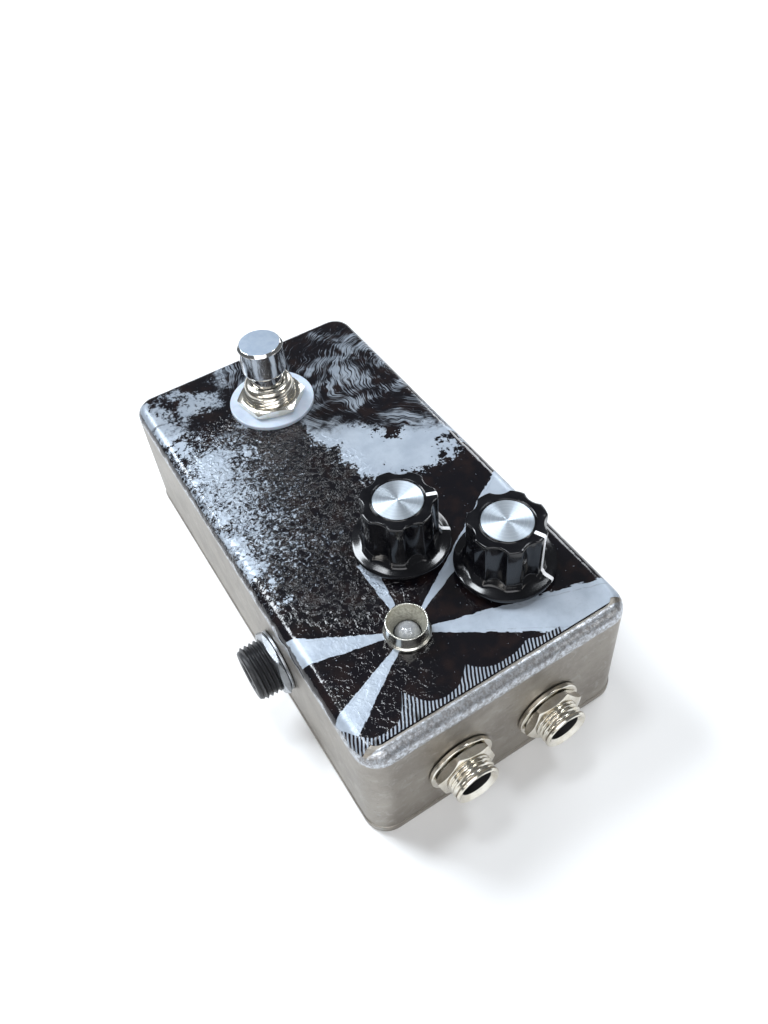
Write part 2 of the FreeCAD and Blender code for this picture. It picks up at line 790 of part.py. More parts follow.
def knob(number):
    """Knob with its disc, pointer, brass insert and grub screw, and the shaft that it turns."""
    name = f"knob_{number}"
    blank = knob_blank(name + "_blank")
    slabs = pointer_slabs(name + "_pointer")
    across = grub_turn().multiply(TOWARDS_X)
    grub_hole = cylinder(name + "_grub_hole", "grub_radius", "skirt_radius + 2",
                         z="grub_height", turn=across)

    pointer = common(name + "_pointer_inlay", blank, slabs)
    keep(knob_place(pointer, number), name + "_pointer")
    cuts = fuse(name + "_cuts", [slabs, grub_hole])
    keep(knob_place(cut(name + "_shell", blank, cuts), number), name + "_body")

    disc = lathe(name + "_disc_turned", [
        ("0", "knob_height - disc_depth"),
        ("disc_radius", "knob_height - disc_depth"),
        ("disc_radius", "knob_height - 0.12"),
        ("disc_radius - 0.15", "knob_height"),
        ("0", "knob_height + 0.04"),
    ])
    keep(knob_place(disc, number), name + "_disc")

    sleeve = lathe(name + "_sleeve", [
        ("pot_shaft", "recess_depth"),
        ("insert_radius", "recess_depth"),
        ("insert_radius", "insert_top"),
        ("pot_shaft", "insert_top"),
    ])
    insert = cut(name + "_tapped_sleeve", sleeve, grub_hole)
    keep(knob_place(insert, number), name + "_insert")

    screw = lathe(name + "_grub", [
        ("0", "flat_distance"),
        ("grub_radius - 0.5", "flat_distance"),
        ("grub_radius - thread_clearance", "flat_distance + 0.5"),
        ("grub_radius - thread_clearance", "flat_distance + grub_length"),
        ("grub_socket", "flat_distance + grub_length"),
        ("grub_socket", "flat_distance + grub_length - 1.2"),
        ("0", "flat_distance + grub_length - 1.2"),
    ])
    put(screw, z="grub_height", turn=across)
    keep(knob_place(group(name + "_grub_screw", [screw]), number), name + "_grub_screw")

    foot = "(roof + film_thick + knob_gap + pot_shaft_inside)"
    rod = cylinder(f"pot_{number}_rod", "pot_shaft", f"{foot} + insert_top", z=f"-{foot}")
    flat = block(f"pot_{number}_flat", "4", "10", "insert_top - recess_depth + 2",
                 "flat_distance + 2", "0", "recess_depth + 0.4")
    turned_flat = group(f"pot_{number}_turned_flat", [flat])
    turned_flat.Placement = FreeCAD.Placement(FreeCAD.Vector(), grub_turn())
    shaft = cut(f"pot_{number}_d_shaft", rod, turned_flat)
    keep(knob_place(shaft, number), f"pot_{number}_shaft")


def potentiometer(number):
    """Control under the panel: can, wafer, lugs and the bushing that comes through."""
    name = f"pot_{number}"
    x, y = f"knob_{number}_x", f"knob_{number}_y"
    bore = "(pot_shaft + pot_clearance)"
    can = lathe(name + "_can", [
        ("0", "0"),
        ("pot_radius - 0.6", "0"),
        ("pot_radius", "0.6"),
        ("pot_radius", "pot_height - pot_wafer"),
        (bore, "pot_height - pot_wafer"),
        (bore, "pot_height - pot_shaft_inside"),
        ("0", "pot_height - pot_shaft_inside"),
    ])
    keep(put(can, x, y, f"{ROOF_UNDERSIDE} - pot_height"), name + "_body")

    wafer_z = f"{ROOF_UNDERSIDE} - pot_wafer"
    round_wafer = put(ring(name + "_round_wafer", "pot_radius", bore, "pot_wafer"), x, y, wafer_z)
    tongue = block(name + "_tongue", "pot_tongue", "3.5", "pot_wafer",
                   x, f"{y} - pot_radius + 0.75", wafer_z)
    keep(fuse(name + "_wafer_sheet", [round_wafer, tongue]), name + "_wafer")

    lugs = []
    for step in (-1, 0, 1):
        lugs.append(block(name + "_lug", "lug_width", "pot_lug_length", "lug_thick",
                          f"{x} + {step} * pot_lug_pitch",
                          f"{y} - pot_radius - 1 - pot_lug_length / 2", wafer_z))
    keep(group(name + "_lug_row", lugs), name + "_lugs")

    above = "(roof + film_thick + pot_bushing_above)"
    bushing = lathe(name + "_sleeve", [(bore, "0")] + thread(
        "pot_bushing", "pot_bushing - 0.3", "pot_pitch", "0", 8) + [
        ("pot_bushing - 0.3", above),
        (bore, above),
    ])
    keep(put(bushing, x, y, ROOF_UNDERSIDE), name + "_bushing")


def potentiometer_nuts():
    """One washer and one nut on each control's bushing, under its knob."""
    bore = "pot_bushing + thread_clearance"
    washers = []
    nuts = []
    for number in (1, 2):
        x, y = f"knob_{number}_x", f"knob_{number}_y"
        washer = ring(f"pot_washer_{number}", "pot_washer", bore, "pot_washer_thick")
        washers.append(put(washer, x, y, PANEL))
        nut = hex_nut(f"pot_nut_{number}", "pot_nut_corner", "nut_thick", bore, 10)
        nuts.append(put(nut, x, y, f"{PANEL} + pot_washer_thick"))
    keep(group("pot_washers", washers), "pot_washers")
    keep(group("pot_nuts", nuts), "pot_nuts")


def lamp():
    """Round lamp held in a conical bezel, with its nut and leads below the roof."""
    x, y = "lamp_x", "lamp_y"
    seat = "(lamp_base + lamp_flange_thick - box_top - film_thick)"
    bezel = lathe("bezel", [
        ("lamp_flange + 0.05", "-bezel_shank_depth"),
        ("bezel_shank", "-bezel_shank_depth"),
        ("bezel_shank", "0"),
        ("bezel_flange", "0"),
        ("bezel_flange", "bezel_flange_thick - 0.3"),
        ("bezel_flange - 0.2", "bezel_flange_thick"),
        ("bezel_rim", "bezel_rise - 0.15"),
        ("bezel_rim - 0.1", "bezel_rise"),
        ("bezel_rim - bezel_lip", "bezel_rise"),
        ("lamp_radius + 0.1", "0.2"),
        ("lamp_radius + 0.1", seat),
        ("lamp_flange + 0.05", seat),
    ])
    keep(put(bezel, x, y, PANEL), "led_bezel")

    nut = hex_nut("bezel_nut", "bezel_nut_corner", "nut_thick", "bezel_shank + thread_clearance")
    keep(put(nut, x, y, f"{ROOF_UNDERSIDE} - nut_thick"), "led_nut")

    shoulder = "(lamp_flange_thick + lamp_straight)"
    dome = [(f"{math.cos(angle):.4f} * lamp_radius",
             f"{shoulder} + {math.sin(angle):.4f} * lamp_radius")
            for angle in (0, math.pi / 9, 2 * math.pi / 9, math.pi / 3, 4 * math.pi / 9)]
    bulb = lathe("bulb", [
        ("0", "0"),
        ("lamp_flange", "0"),
        ("lamp_flange", "lamp_flange_thick"),
        ("lamp_radius", "lamp_flange_thick"),
    ] + dome + [("0", f"{shoulder} + lamp_radius")])
    keep(put(bulb, x, y, "lamp_base"), "led")

    leads = []
    for sign in ("+", "-"):
        leads.append(block("lamp_lead", "lamp_lead_side", "lamp_lead_side", "lamp_lead_length",
                           f"{x} {sign} lamp_lead_pitch / 2", y, "lamp_base - lamp_lead_length"))
    keep(group("lamp_leads", leads), "led_leads")


def audio_jack(number):
    """Threaded barrel through the wall, its moulded housing inside and two solder lugs."""
    name = f"jack_{number}"
    x, z = f"{name}_x", f"{name}_z"
    turns = 9
    length = "(jack_end - jack_inner)"
    start = f"({length} - jack_chamfer - {turns} * jack_pitch)"
    barrel = lathe(name + "_turned", [
        ("jack_bore", "0"),
        ("jack_thread_root", "0"),
    ] + thread("jack_thread", "jack_thread_root", "jack_pitch", start, turns) + [
        ("jack_thread - 0.15", f"{length} - jack_chamfer"),
        ("jack_thread - 0.6", length),
        ("jack_mouth", length),
        ("jack_bore", f"{length} - 0.6"),
    ])
    keep(put(barrel, x, "jack_inner", z, TOWARDS_Y), name + "_barrel")

    shell = block(name + "_shell", "jack_body_width", "jack_body_length", "jack_body_height",
                  x, "jack_inner - jack_body_length / 2", f"{z} - jack_body_height / 2")
    hollow = cylinder(name + "_hollow", "jack_body_bore", "jack_body_length",
                      x, "jack_inner - jack_body_length + 1.5", z, TOWARDS_Y)
    keep(cut(name + "_housing", shell, hollow), name + "_body")

    lugs = []
    for sign in ("+", "-"):
        lugs.append(block(name + "_lug", "lug_width", "jack_lug_length", "lug_thick",
                          f"{x} {sign} jack_lug_offset",
                          "jack_inner - jack_body_length - jack_lug_length / 2",
                          f"{z} + jack_lug_offset - lug_thick / 2"))
    keep(group(name + "_lug_pair", lugs), name + "_lugs")


def audio_jack_nuts():
    """A flat washer and a hexagonal nut on each audio jack, outside the wall."""
    bore = "jack_thread + thread_clearance"
    washers = []
    nuts = []
    for number, turn in ((1, 15.7), (2, 38.0)):
        x, z = f"jack_{number}_x", f"jack_{number}_z"
        washer = ring(f"jack_washer_{number}", "jack_washer", bore, "jack_washer_thick")
        washers.append(put(washer, x, "jack_face", z, TOWARDS_Y))
        nut = hex_nut(f"jack_nut_{number}", "jack_nut_corner", "jack_nut_thick", bore, turn)
        nuts.append(put(nut, x, "jack_face + jack_washer_thick", z, TOWARDS_Y))
    keep(group("jack_washers", washers), "jack_washers")
    keep(group("jack_nuts", nuts), "jack_nuts")


def power_socket():
    """Moulded barrel through the side wall, with a centre pin, a nut and two lugs."""
    y, z = "dc_y", "dc_z"
    turns = 8
    length = "(dc_end - dc_inner)"
    front = "(dc_wall - dc_inner)"
    start = f"({length} - 0.6 - {turns} * dc_pitch)"
    floor = f"{length} - dc_bore_depth"
    barrel = lathe("dc_barrel", [
        ("0", "0"),
        ("dc_thread_root", "0"),
        ("dc_thread_root", f"{front} - dc_flange_thick"),
        ("dc_flange", f"{front} - dc_flange_thick"),
        ("dc_flange", front),
        ("dc_thread_root", front),
    ] + thread("dc_thread", "dc_thread_root", "dc_pitch", start, turns) + [
        ("dc_thread_root - 0.1", length),
        ("dc_bore + 0.4", length),
        ("dc_bore", f"{length} - 0.4"),
        ("dc_bore", floor),
        ("0", floor),
    ])
    keep(put(barrel, "dc_inner", y, z, TOWARDS_X), "dc_jack_barrel")

    pin = lathe("dc_centre_pin", [
        ("0", "0"),
        ("dc_pin", "0"),
        ("dc_pin", "dc_pin_length - 0.6"),
        ("0.4 * dc_pin", "dc_pin_length"),
        ("0", "dc_pin_length"),
    ])
    keep(put(pin, "dc_end - dc_bore_depth", y, z, TOWARDS_X), "dc_jack_pin")

    bore = "dc_thread + thread_clearance"
    washer = ring("dc_washer_ring", "dc_washer", bore, "dc_washer_thick")
    keep(put(washer, "dc_face", y, z, TOWARDS_X), "dc_jack_washer")
    nut = hex_nut("dc_nut", "dc_nut_corner", "dc_nut_thick", bore, 52)
    keep(put(nut, "dc_face + dc_washer_thick", y, z, TOWARDS_X), "dc_jack_nut")

    lugs = []
    for sign, length in (("-", "dc_lug_short"), ("+", "dc_lug_long")):
        lugs.append(block("dc_lug", length, "lug_thick", "lug_width", f"dc_inner - {length} / 2",
                          f"{y} {sign} 3", f"{z} - lug_width / 2"))
    keep(group("dc_lug_pair", lugs), "dc_jack_lugs")


def circuit():
    """Circuit board on a foam pad, with the components that stand on it."""
    board = block("board", "board_length", "board_width", "board_thick", "0", "board_y", "board_z")
    keep(board, "circuit_board")
    pad = block("pad", "foam_length", "foam_width", "board_z - plate_thick",
                "0", "board_y", "plate_thick")
    keep(pad, "foam_pad")

    cans = []
    boxes = []
    for x in (-17, -9, 9, 17):
        can = lathe("can", [
            ("0", "0"),
            ("can_radius", "0"),
            ("can_radius", "can_height - 0.3"),
            ("can_radius - 0.3", "can_height"),
            ("0", "can_height"),
        ])
        cans.append(put(can, str(x), "board_y - 8.5", BOARD_TOP))
        boxes.append(block("film_cap", "film_cap_length", "film_cap_width", "film_cap_height",
                           str(x), "board_y - 2.5", BOARD_TOP))
    keep(group("cans", cans), "electrolytic_capacitors")
    keep(group("film_caps", boxes), "film_capacitors")

    resistors = []
    for x in (-20, -12, -4, 4, 12):
        lying = cylinder("resistor", "resistor_radius", "resistor_length", f"{x}",
                         "board_y + 3", f"{BOARD_TOP} + resistor_radius", TOWARDS_X)
        resistors.append(lying)
    keep(group("resistor_row", resistors), "resistors")

    chip = block("chip", "chip_length", "chip_width", "chip_height", "0", "board_y - 7", BOARD_TOP)
    keep(chip, "amplifier_chip")


def wire_run(x, from_y, from_z, to_y, to_z):
    """Wire that runs level along Y, turns through an arc and ends upright."""
    bend = size("wire_bend")
    along = math.copysign(bend, to_y - from_y)
    rise = math.copysign(bend, to_z - from_z)
    start = FreeCAD.Vector(x, from_y, from_z)
    leave = FreeCAD.Vector(x, to_y - along, from_z)
    arrive = FreeCAD.Vector(x, to_y, from_z + rise)
    half = math.sqrt(0.5)
    middle = FreeCAD.Vector(x, to_y - along * (1 - half), from_z + rise * (1 - half))
    end = FreeCAD.Vector(x, to_y, to_z)
    edges = [
        Part.LineSegment(start, leave).toShape(),
        Part.Arc(leave, middle, arrive).toShape(),
        Part.LineSegment(arrive, end).toShape(),
    ]
    direction = FreeCAD.Vector(0, along, 0)
    section = Part.Wire(Part.makeCircle(size("wire_radius"), start, direction))
    wire = doc.addObject("Part::Feature", "wire")
    wire.Shape = Part.Wire(edges).makePipeShell([section], True, True)
    return wire


def hookup_wires():
    """Short wires from the controls, jacks, lamp and switch to the board."""
    top = size("board_z") + size("board_thick")
    landing = 4.0
    wires = []
    lug_z = size("box_top") - size("roof") - size("pot_wafer") + size("lug_thick") / 2
    for number in (1, 2):
        reach = size("pot_radius") + 1 + size("pot_lug_length")
        lug_y = size(f"knob_{number}_y") - reach
        for step in (-1, 0, 1):
            x = size(f"knob_{number}_x") + step * size("pot_lug_pitch")
            wires.append(wire_run(x, lug_y, lug_z, landing - number + 1, top))
        jack_y = size("jack_inner") - size("jack_body_length") - size("jack_lug_length")
        x = size(f"jack_{number}_x") - size("jack_lug_offset")
        z = size(f"jack_{number}_z") + size("jack_lug_offset")
        wires.append(wire_run(x, jack_y, z, landing, top))
    for sign, x in ((-1, 12.6), (1, 9.7)):
        lug_y = size("dc_y") + 3 * sign - size("lug_thick") / 2
        wires.append(wire_run(x, lug_y, size("dc_z"), landing, top))
    for sign in (-1, 1):
        x = size("lamp_x") + sign * size("lamp_lead_pitch") / 2
        z = size("lamp_base") - size("lamp_lead_length") - size("wire_radius")
        wires.append(wire_run(x, size("lamp_y") + size("lamp_lead_side"), z, 1.0, top))
    for step in (-1, 0, 1):
        x = size("switch_x") + step * size("switch_lug_pitch")
        y = size("switch_y") + size("switch_lug_pitch") + size("lug_width") / 2
        wires.append(wire_run(x, y, 6.4, -19.0, size("board_z")))
    keep(group("wire_bundle", wires), "hookup_wires")


def export_all():
    """Check every object, then write one file for each sub-part."""
    doc.recompute()
    for thing in doc.Objects:
        bad = [word for word in thing.State if word in ("Invalid", "Error")]
        require(not bad, f"{thing.Name} ({thing.Label}) failed: {thing.State}")
    for thing in sub_parts:
        require(not thing.Shape.isNull(), f"{thing.Label} is empty")
        require(thing.Shape.isValid(), f"{thing.Label} is not valid")
        require(thing.Shape.Solids, f"{thing.Label} has no solid")
    os.makedirs("parts", exist_ok=True)
    for thing in sub_parts:
        thing.Shape.exportStep(f"parts/{thing.Label}.step")
    print(f"{len(sub_parts)} sub-parts written")


enclosure()
base_plate()
base_screws()
top_film()
footswitch()
for control in (1, 2):
    knob(control)
    potentiometer(control)
    audio_jack(control)
potentiometer_nuts()
audio_jack_nuts()
lamp()
power_socket()
circuit()
hookup_wires()
export_all()
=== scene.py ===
import math

import bmesh
import bpy
from mathutils import Matrix, Quaternion, Vector, noise
from mathutils.geometry import delaunay_2d_cdt


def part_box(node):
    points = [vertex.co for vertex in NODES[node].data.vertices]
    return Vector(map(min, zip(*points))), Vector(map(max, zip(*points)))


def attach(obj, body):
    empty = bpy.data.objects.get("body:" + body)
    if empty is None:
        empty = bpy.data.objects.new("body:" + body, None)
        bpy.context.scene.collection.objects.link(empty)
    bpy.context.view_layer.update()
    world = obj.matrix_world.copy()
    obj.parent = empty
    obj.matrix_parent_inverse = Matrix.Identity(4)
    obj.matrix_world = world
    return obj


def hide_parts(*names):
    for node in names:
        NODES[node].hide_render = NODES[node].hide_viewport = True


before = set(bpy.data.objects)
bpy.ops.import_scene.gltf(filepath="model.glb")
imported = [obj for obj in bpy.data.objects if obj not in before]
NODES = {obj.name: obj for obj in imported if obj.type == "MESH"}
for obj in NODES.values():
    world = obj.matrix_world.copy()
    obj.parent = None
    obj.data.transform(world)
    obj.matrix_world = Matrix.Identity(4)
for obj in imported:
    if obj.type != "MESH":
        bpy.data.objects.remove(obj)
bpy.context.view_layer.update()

# Looks for a small guitar effects pedal: die-cast box, printed film, two knobs, lamp, footswitch,
# audio jacks and power socket. Lengths in this script's own tables are millimetres, in the
# part's frame; every mesh is written in metres.

MM = 0.001


# ---------------------------------------------------------------- camera, floor and light

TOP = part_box("enclosure")[1].z / MM
CAMERA_PLACE = Vector((48.2, 108.5, 162.1)) * MM
CAMERA_FORWARD = Vector((-0.29550, -0.57576, -0.76236))
CAMERA_ROLL = math.radians(6.10)
CAMERA_LENS = 29.13


def make_camera():
    data = bpy.data.cameras.new("camera")
    data.lens = CAMERA_LENS
    data.sensor_width = 36.0
    data.clip_start = 0.005
    data.clip_end = 20.0
    camera = bpy.data.objects.new("camera", data)
    bpy.context.scene.collection.objects.link(camera)
    camera.rotation_mode = "QUATERNION"
    camera.location = CAMERA_PLACE
    level = CAMERA_FORWARD.to_track_quat("-Z", "Y")
    camera.rotation_quaternion = level @ Quaternion((0, 0, 1), -CAMERA_ROLL)
    bpy.context.scene.camera = camera


def area_light(name, place, target, size, power, colour):
    data = bpy.data.lights.new(name, "AREA")
    data.shape = "RECTANGLE"
    data.size = size[0]
    data.size_y = size[1]
    data.energy = power
    data.color = colour
    light = bpy.data.objects.new(name, data)
    bpy.context.scene.collection.objects.link(light)
    light.location = place
    aim = Vector(target) - Vector(place)
    light.rotation_mode = "QUATERNION"
    light.rotation_quaternion = aim.to_track_quat("-Z", "Y")


# ---------------------------------------------------------------- shader expressions

class Value:
    """One output in a material's node tree. Arithmetic on it adds Math nodes."""

    def __init__(self, paint, socket):
        self.paint = paint
        self.socket = socket

    def math(self, operation, *others):
        values = dict(enumerate((self,) + others))
        return self.paint.node("ShaderNodeMath", {"operation": operation}, values)

    def __add__(self, other):
        return self.math("ADD", other)

    def __sub__(self, other):
        return self.math("SUBTRACT", other)

    def __mul__(self, other):
        return self.math("MULTIPLY", other)

    def __truediv__(self, other):
        return self.math("DIVIDE", other)

    def __rsub__(self, other):
        return self.paint.constant_first("SUBTRACT", other, self)

    __radd__ = __add__
    __rmul__ = __mul__

    def __neg__(self):
        return self * -1.0

    def __abs__(self):
        return self.math("ABSOLUTE")

    def least(self, other):
        return self.math("MINIMUM", other)

    def most(self, other):
        return self.math("MAXIMUM", other)

    def sine(self):
        return self.math("SINE")

    def root(self):
        return self.math("SQRT")

    def step(self, low, high):
        """0 below low, 1 above high, and a smooth change between them."""
        settings = {"interpolation_type": "SMOOTHSTEP", "clamp": True}
        values = {"Value": self, "From Min": low, "From Max": high}
        return self.paint.node("ShaderNodeMapRange", settings, values)


class Graph:
    """A node tree, with one call that adds a node and sets what goes into it."""

    def __init__(self, tree):
        self.tree = tree

    def node(self, kind, settings=None, values=None, output=0):
        made = self.tree.nodes.new(kind)
        for name, setting in (settings or {}).items():
            setattr(made, name, setting)
        for name, value in (values or {}).items():
            self.feed(made.inputs[name], value)
        return Value(self, made.outputs[output])

    def feed(self, socket, value):
        if isinstance(value, Value):
            self.tree.links.new(value.socket, socket)
        else:
            socket.default_value = value

    def constant_first(self, operation, number, value):
        return self.node("ShaderNodeMath", {"operation": operation}, {0: number, 1: value})

    def vector(self, operation, first, second=None, scale=None):
        values = {0: first}
        if second is not None:
            values[1] = second
        if scale is not None:
            values["Scale"] = scale
        return self.node("ShaderNodeVectorMath", {"operation": operation}, values)


class Paint(Graph):
    """A material's node tree, with short calls for the patterns that the finishes use."""

    def __init__(self, name):
        self.material = bpy.data.materials.new(name)
        self.material.use_nodes = True
        super().__init__(self.material.node_tree)
        self.shader = self.tree.nodes["Principled BSDF"]
        place = self.node("ShaderNodeTexCoord", output="Object")
        self.where = self.vector("SCALE", place, scale=1000.0)

    def axes(self, place=None):
        parts = self.tree.nodes.new("ShaderNodeSeparateXYZ")
        self.feed(parts.inputs[0], place or self.where)
        return [Value(self, socket) for socket in parts.outputs]

    def point(self, x, y, z):
        return self.node("ShaderNodeCombineXYZ", None, {"X": x, "Y": y, "Z": z})

    def noise(self, size, detail=2.0, roughness=0.5, place=None, twist=0.0):
        """Noise from 0 to 1 whose blotches are about size millimetres across."""
        values = {"Vector": place or self.where, "Scale": 1.0 / size, "Detail": detail}
        values["Roughness"] = roughness
        values["Distortion"] = twist
        return self.node("ShaderNodeTexNoise", {"noise_dimensions": "3D"}, values)

    def cells(self, size, feature="F1", place=None):
        values = {"Vector": place or self.where, "Scale": 1.0 / size}
        return self.node("ShaderNodeTexVoronoi", {"feature": feature}, values, "Distance")

    def shifted(self, size, reach):
        """The place, pushed about by up to reach millimetres in swirls of a given size."""
        values = {"Vector": self.where, "Scale": 1.0 / size, "Detail": 3.0}
        colour = self.node("ShaderNodeTexNoise", {"noise_dimensions": "3D"}, values, "Color")
        centred = self.vector("SUBTRACT", colour, (0.5, 0.5, 0.5))
        push = self.vector("SCALE", centred, scale=2.0 * reach)
        return self.vector("ADD", self.where, push)

    def mix(self, amount, first, second):
        """Colour that goes from first to second as amount goes from 0 to 1."""
        values = {0: amount, 6: colour_of(first), 7: colour_of(second)}
        return self.node("ShaderNodeMix", {"data_type": "RGBA"}, values, output=2)

    def bump(self, height, depth):
        """Normal for a height of 0 to 1 that stands depth millimetres tall."""
        values = {"Height": height, "Distance": depth * MM, "Strength": 1.0}
        return self.node("ShaderNodeBump", None, values)

    def finish(self, **inputs):
        """Set the shader's sockets, given by their names with _ for spaces."""
        for name, value in inputs.items():
            socket = self.shader.inputs[name.replace("_", " ")]
            self.feed(socket, colour_of(value) if name == "Base_Color" else value)
        return self.material


def distance(across, along):
    """How far a place is from the origin, from its two coordinates."""
    return (across * across + along * along).root()


def colour_of(value):
    if isinstance(value, Value):
        return value
    return tuple(value) + (1.0,) if len(value) == 3 else tuple(value)


# ---------------------------------------------------------------- studio

SKY_BRIGHTNESS = 0.15
PANELS = (
    # name, direction, distance, width, power and colour
    ("back_left_window", (0.30, -0.60, 0.74), 0.90, 0.30, 6.6, (0.88, 0.94, 1.0)),
    ("high_back_window", (0.085, -0.265, 0.96), 0.90, 0.15, 1.6, (0.90, 0.95, 1.0)),
    ("high_right_window", (-0.49, -0.02, 0.87), 0.90, 0.16, 1.6, (0.90, 0.95, 1.0)),
    ("back_right_window", (-0.80, -0.50, 0.40), 0.95, 0.30, 2.2, (0.92, 0.96, 1.0)),
    ("left_window", (0.86, 0.30, 0.42), 0.90, 0.24, 0.8, (1.0, 0.97, 0.92)),
    ("near_window", (-0.60, 0.70, 0.45), 0.95, 0.24, 0.7, (1.0, 0.97, 0.92)),
    ("room_behind", (0.40, 0.66, 0.80), 1.20, 0.90, 7.0, (0.97, 0.98, 1.0)),
)


def make_studio():
    """Dim room with windows round it and a broad pale one behind the camera."""
    world = bpy.data.worlds.new("studio")
    bpy.context.scene.world = world
    world.use_nodes = True
    background = world.node_tree.nodes["Background"]
    background.inputs["Color"].default_value = (0.92, 0.96, 1.0, 1.0)
    background.inputs["Strength"].default_value = SKY_BRIGHTNESS
    for name, direction, distance, width, power, colour in PANELS:
        place = Vector(direction).normalized() * distance
        area_light(name, place, (0, 0, 0.02), (width, width), power, colour)
    bpy.context.scene.view_settings.view_transform = "Standard"


# ---------------------------------------------------------------- finishes

# Where the top shoulders and corners begin to get their bright colour: rubbed wear together with a
# painted highlight.
WEAR_AND_HIGHLIGHT_ABOVE = 27.2
WEAR_AND_HIGHLIGHT_SIDES = (27.4, 52.6)
WEAR_AND_HIGHLIGHT_CORNERS = (27.0, 53.0)


def cast_aluminium():
    """Tumbled die-cast metal: warm satin grey, mottled, and bright along its top shoulders and
    corners, which is partly rubbed wear and partly a painted highlight.
    """
    paint = Paint("cast_aluminium")
    x, y, z = paint.axes()
    cloud = paint.noise(9.0, 4.0, 0.6)
    grain = paint.noise(0.35, 2.0, 0.6)
    streaks = paint.noise(2.2, 5.0, 0.7, twist=0.8)
    pits = paint.noise(0.9, 3.0, 0.5).step(0.66, 0.74)
    edge_x = (abs(x) - WEAR_AND_HIGHLIGHT_SIDES[0]).step(0.0, 1.6)
    edge_y = (abs(y) - WEAR_AND_HIGHLIGHT_SIDES[1]).step(0.0, 0.8)
    shoulder = (z - WEAR_AND_HIGHLIGHT_ABOVE).step(0.0, 1.5) * edge_x.most(edge_y)
    corner_x = (abs(x) - WEAR_AND_HIGHLIGHT_CORNERS[0]).step(0.0, 2.0)
    corner = corner_x * (abs(y) - WEAR_AND_HIGHLIGHT_CORNERS[1]).step(0.0, 2.0)
    ragged = paint.noise(1.7, 5.0, 0.65)
    # Painted highlight mixed with rubbed wear: the shoulders and corners are coloured bright
    # bluish grey.
    wear_and_highlight = (shoulder.most(corner * 0.7) + ragged * 0.9 - 0.75).step(0.0, 0.45)
    warm = paint.mix(cloud.step(0.3, 0.7), (0.235, 0.212, 0.185), (0.345, 0.32, 0.285))
    marked = paint.mix(streaks.step(0.50, 0.70) * 0.30, warm, (0.50, 0.49, 0.47))
    pitted = paint.mix(pits * 0.45, marked, (0.16, 0.145, 0.13))
    # The bright bluish grey below is the painted highlight on the shoulders, over the rubbed
    # metal.
    speckled = paint.noise(0.8, 5.0, 0.8).step(0.40, 0.62)
    bright = paint.mix(speckled, (0.30, 0.30, 0.31), (0.66, 0.70, 0.76))
    colour = paint.mix(wear_and_highlight * 0.85, pitted, bright)
    rough = 0.44 + (cloud - 0.5) * 0.14 + (grain - 0.5) * 0.12 - wear_and_highlight * speckled * 0.10
    scratches = paint.noise(0.5, 2.0, 0.6, paint.point(x * 0.12 + z * 0.5, y * 0.9, z * 1.3))
    dents = paint.noise(1.1, 3.0, 0.6) * shoulder
    height = cloud * 0.5 + streaks * 0.3 + grain * 0.12 + scratches * 0.12 + dents - pits * 0.2
    relief = paint.bump(height, 0.11)
    return paint.finish(Base_Color=colour, Metallic=1.0, Roughness=rough, Normal=relief)


NEAR_BORDER = 52.35
WAVE_WIDTH = 12.4
HATCH_PITCH = 0.78
FULL_RAY = 50.0
RAYS = (
    # bearing from the lamp and half width, in degrees, and how far the ray goes
    (-21.5, 8.8, 60.0),
    (28.0, 7.4, 60.0),
    (155.0, 9.4, 60.0),
    (208.0, 4.4, 60.0),
    (265.0, 5.6, 24.0),
)
SILVER_PATCHES = (
    # centre, half spread and weight of each patch where the print is torn away
    ((-6.0, -20.0), (5.0, 8.0), 1.05),
    ((-9.0, -9.0), (5.0, 9.0), 1.10),
    ((-17.0, -2.0), (9.0, 6.0), 1.10),
    ((-26.0, -6.0), (5.0, 6.0), 0.85),
    ((26.0, -40.0), (4.0, 16.0), 0.66),
    ((21.0, -24.0), (6.0, 8.0), 0.66),
    ((26.0, 2.0), (4.0, 18.0), 0.58),
    ((13.0, -24.0), (6.0, 7.0), 0.50),
)


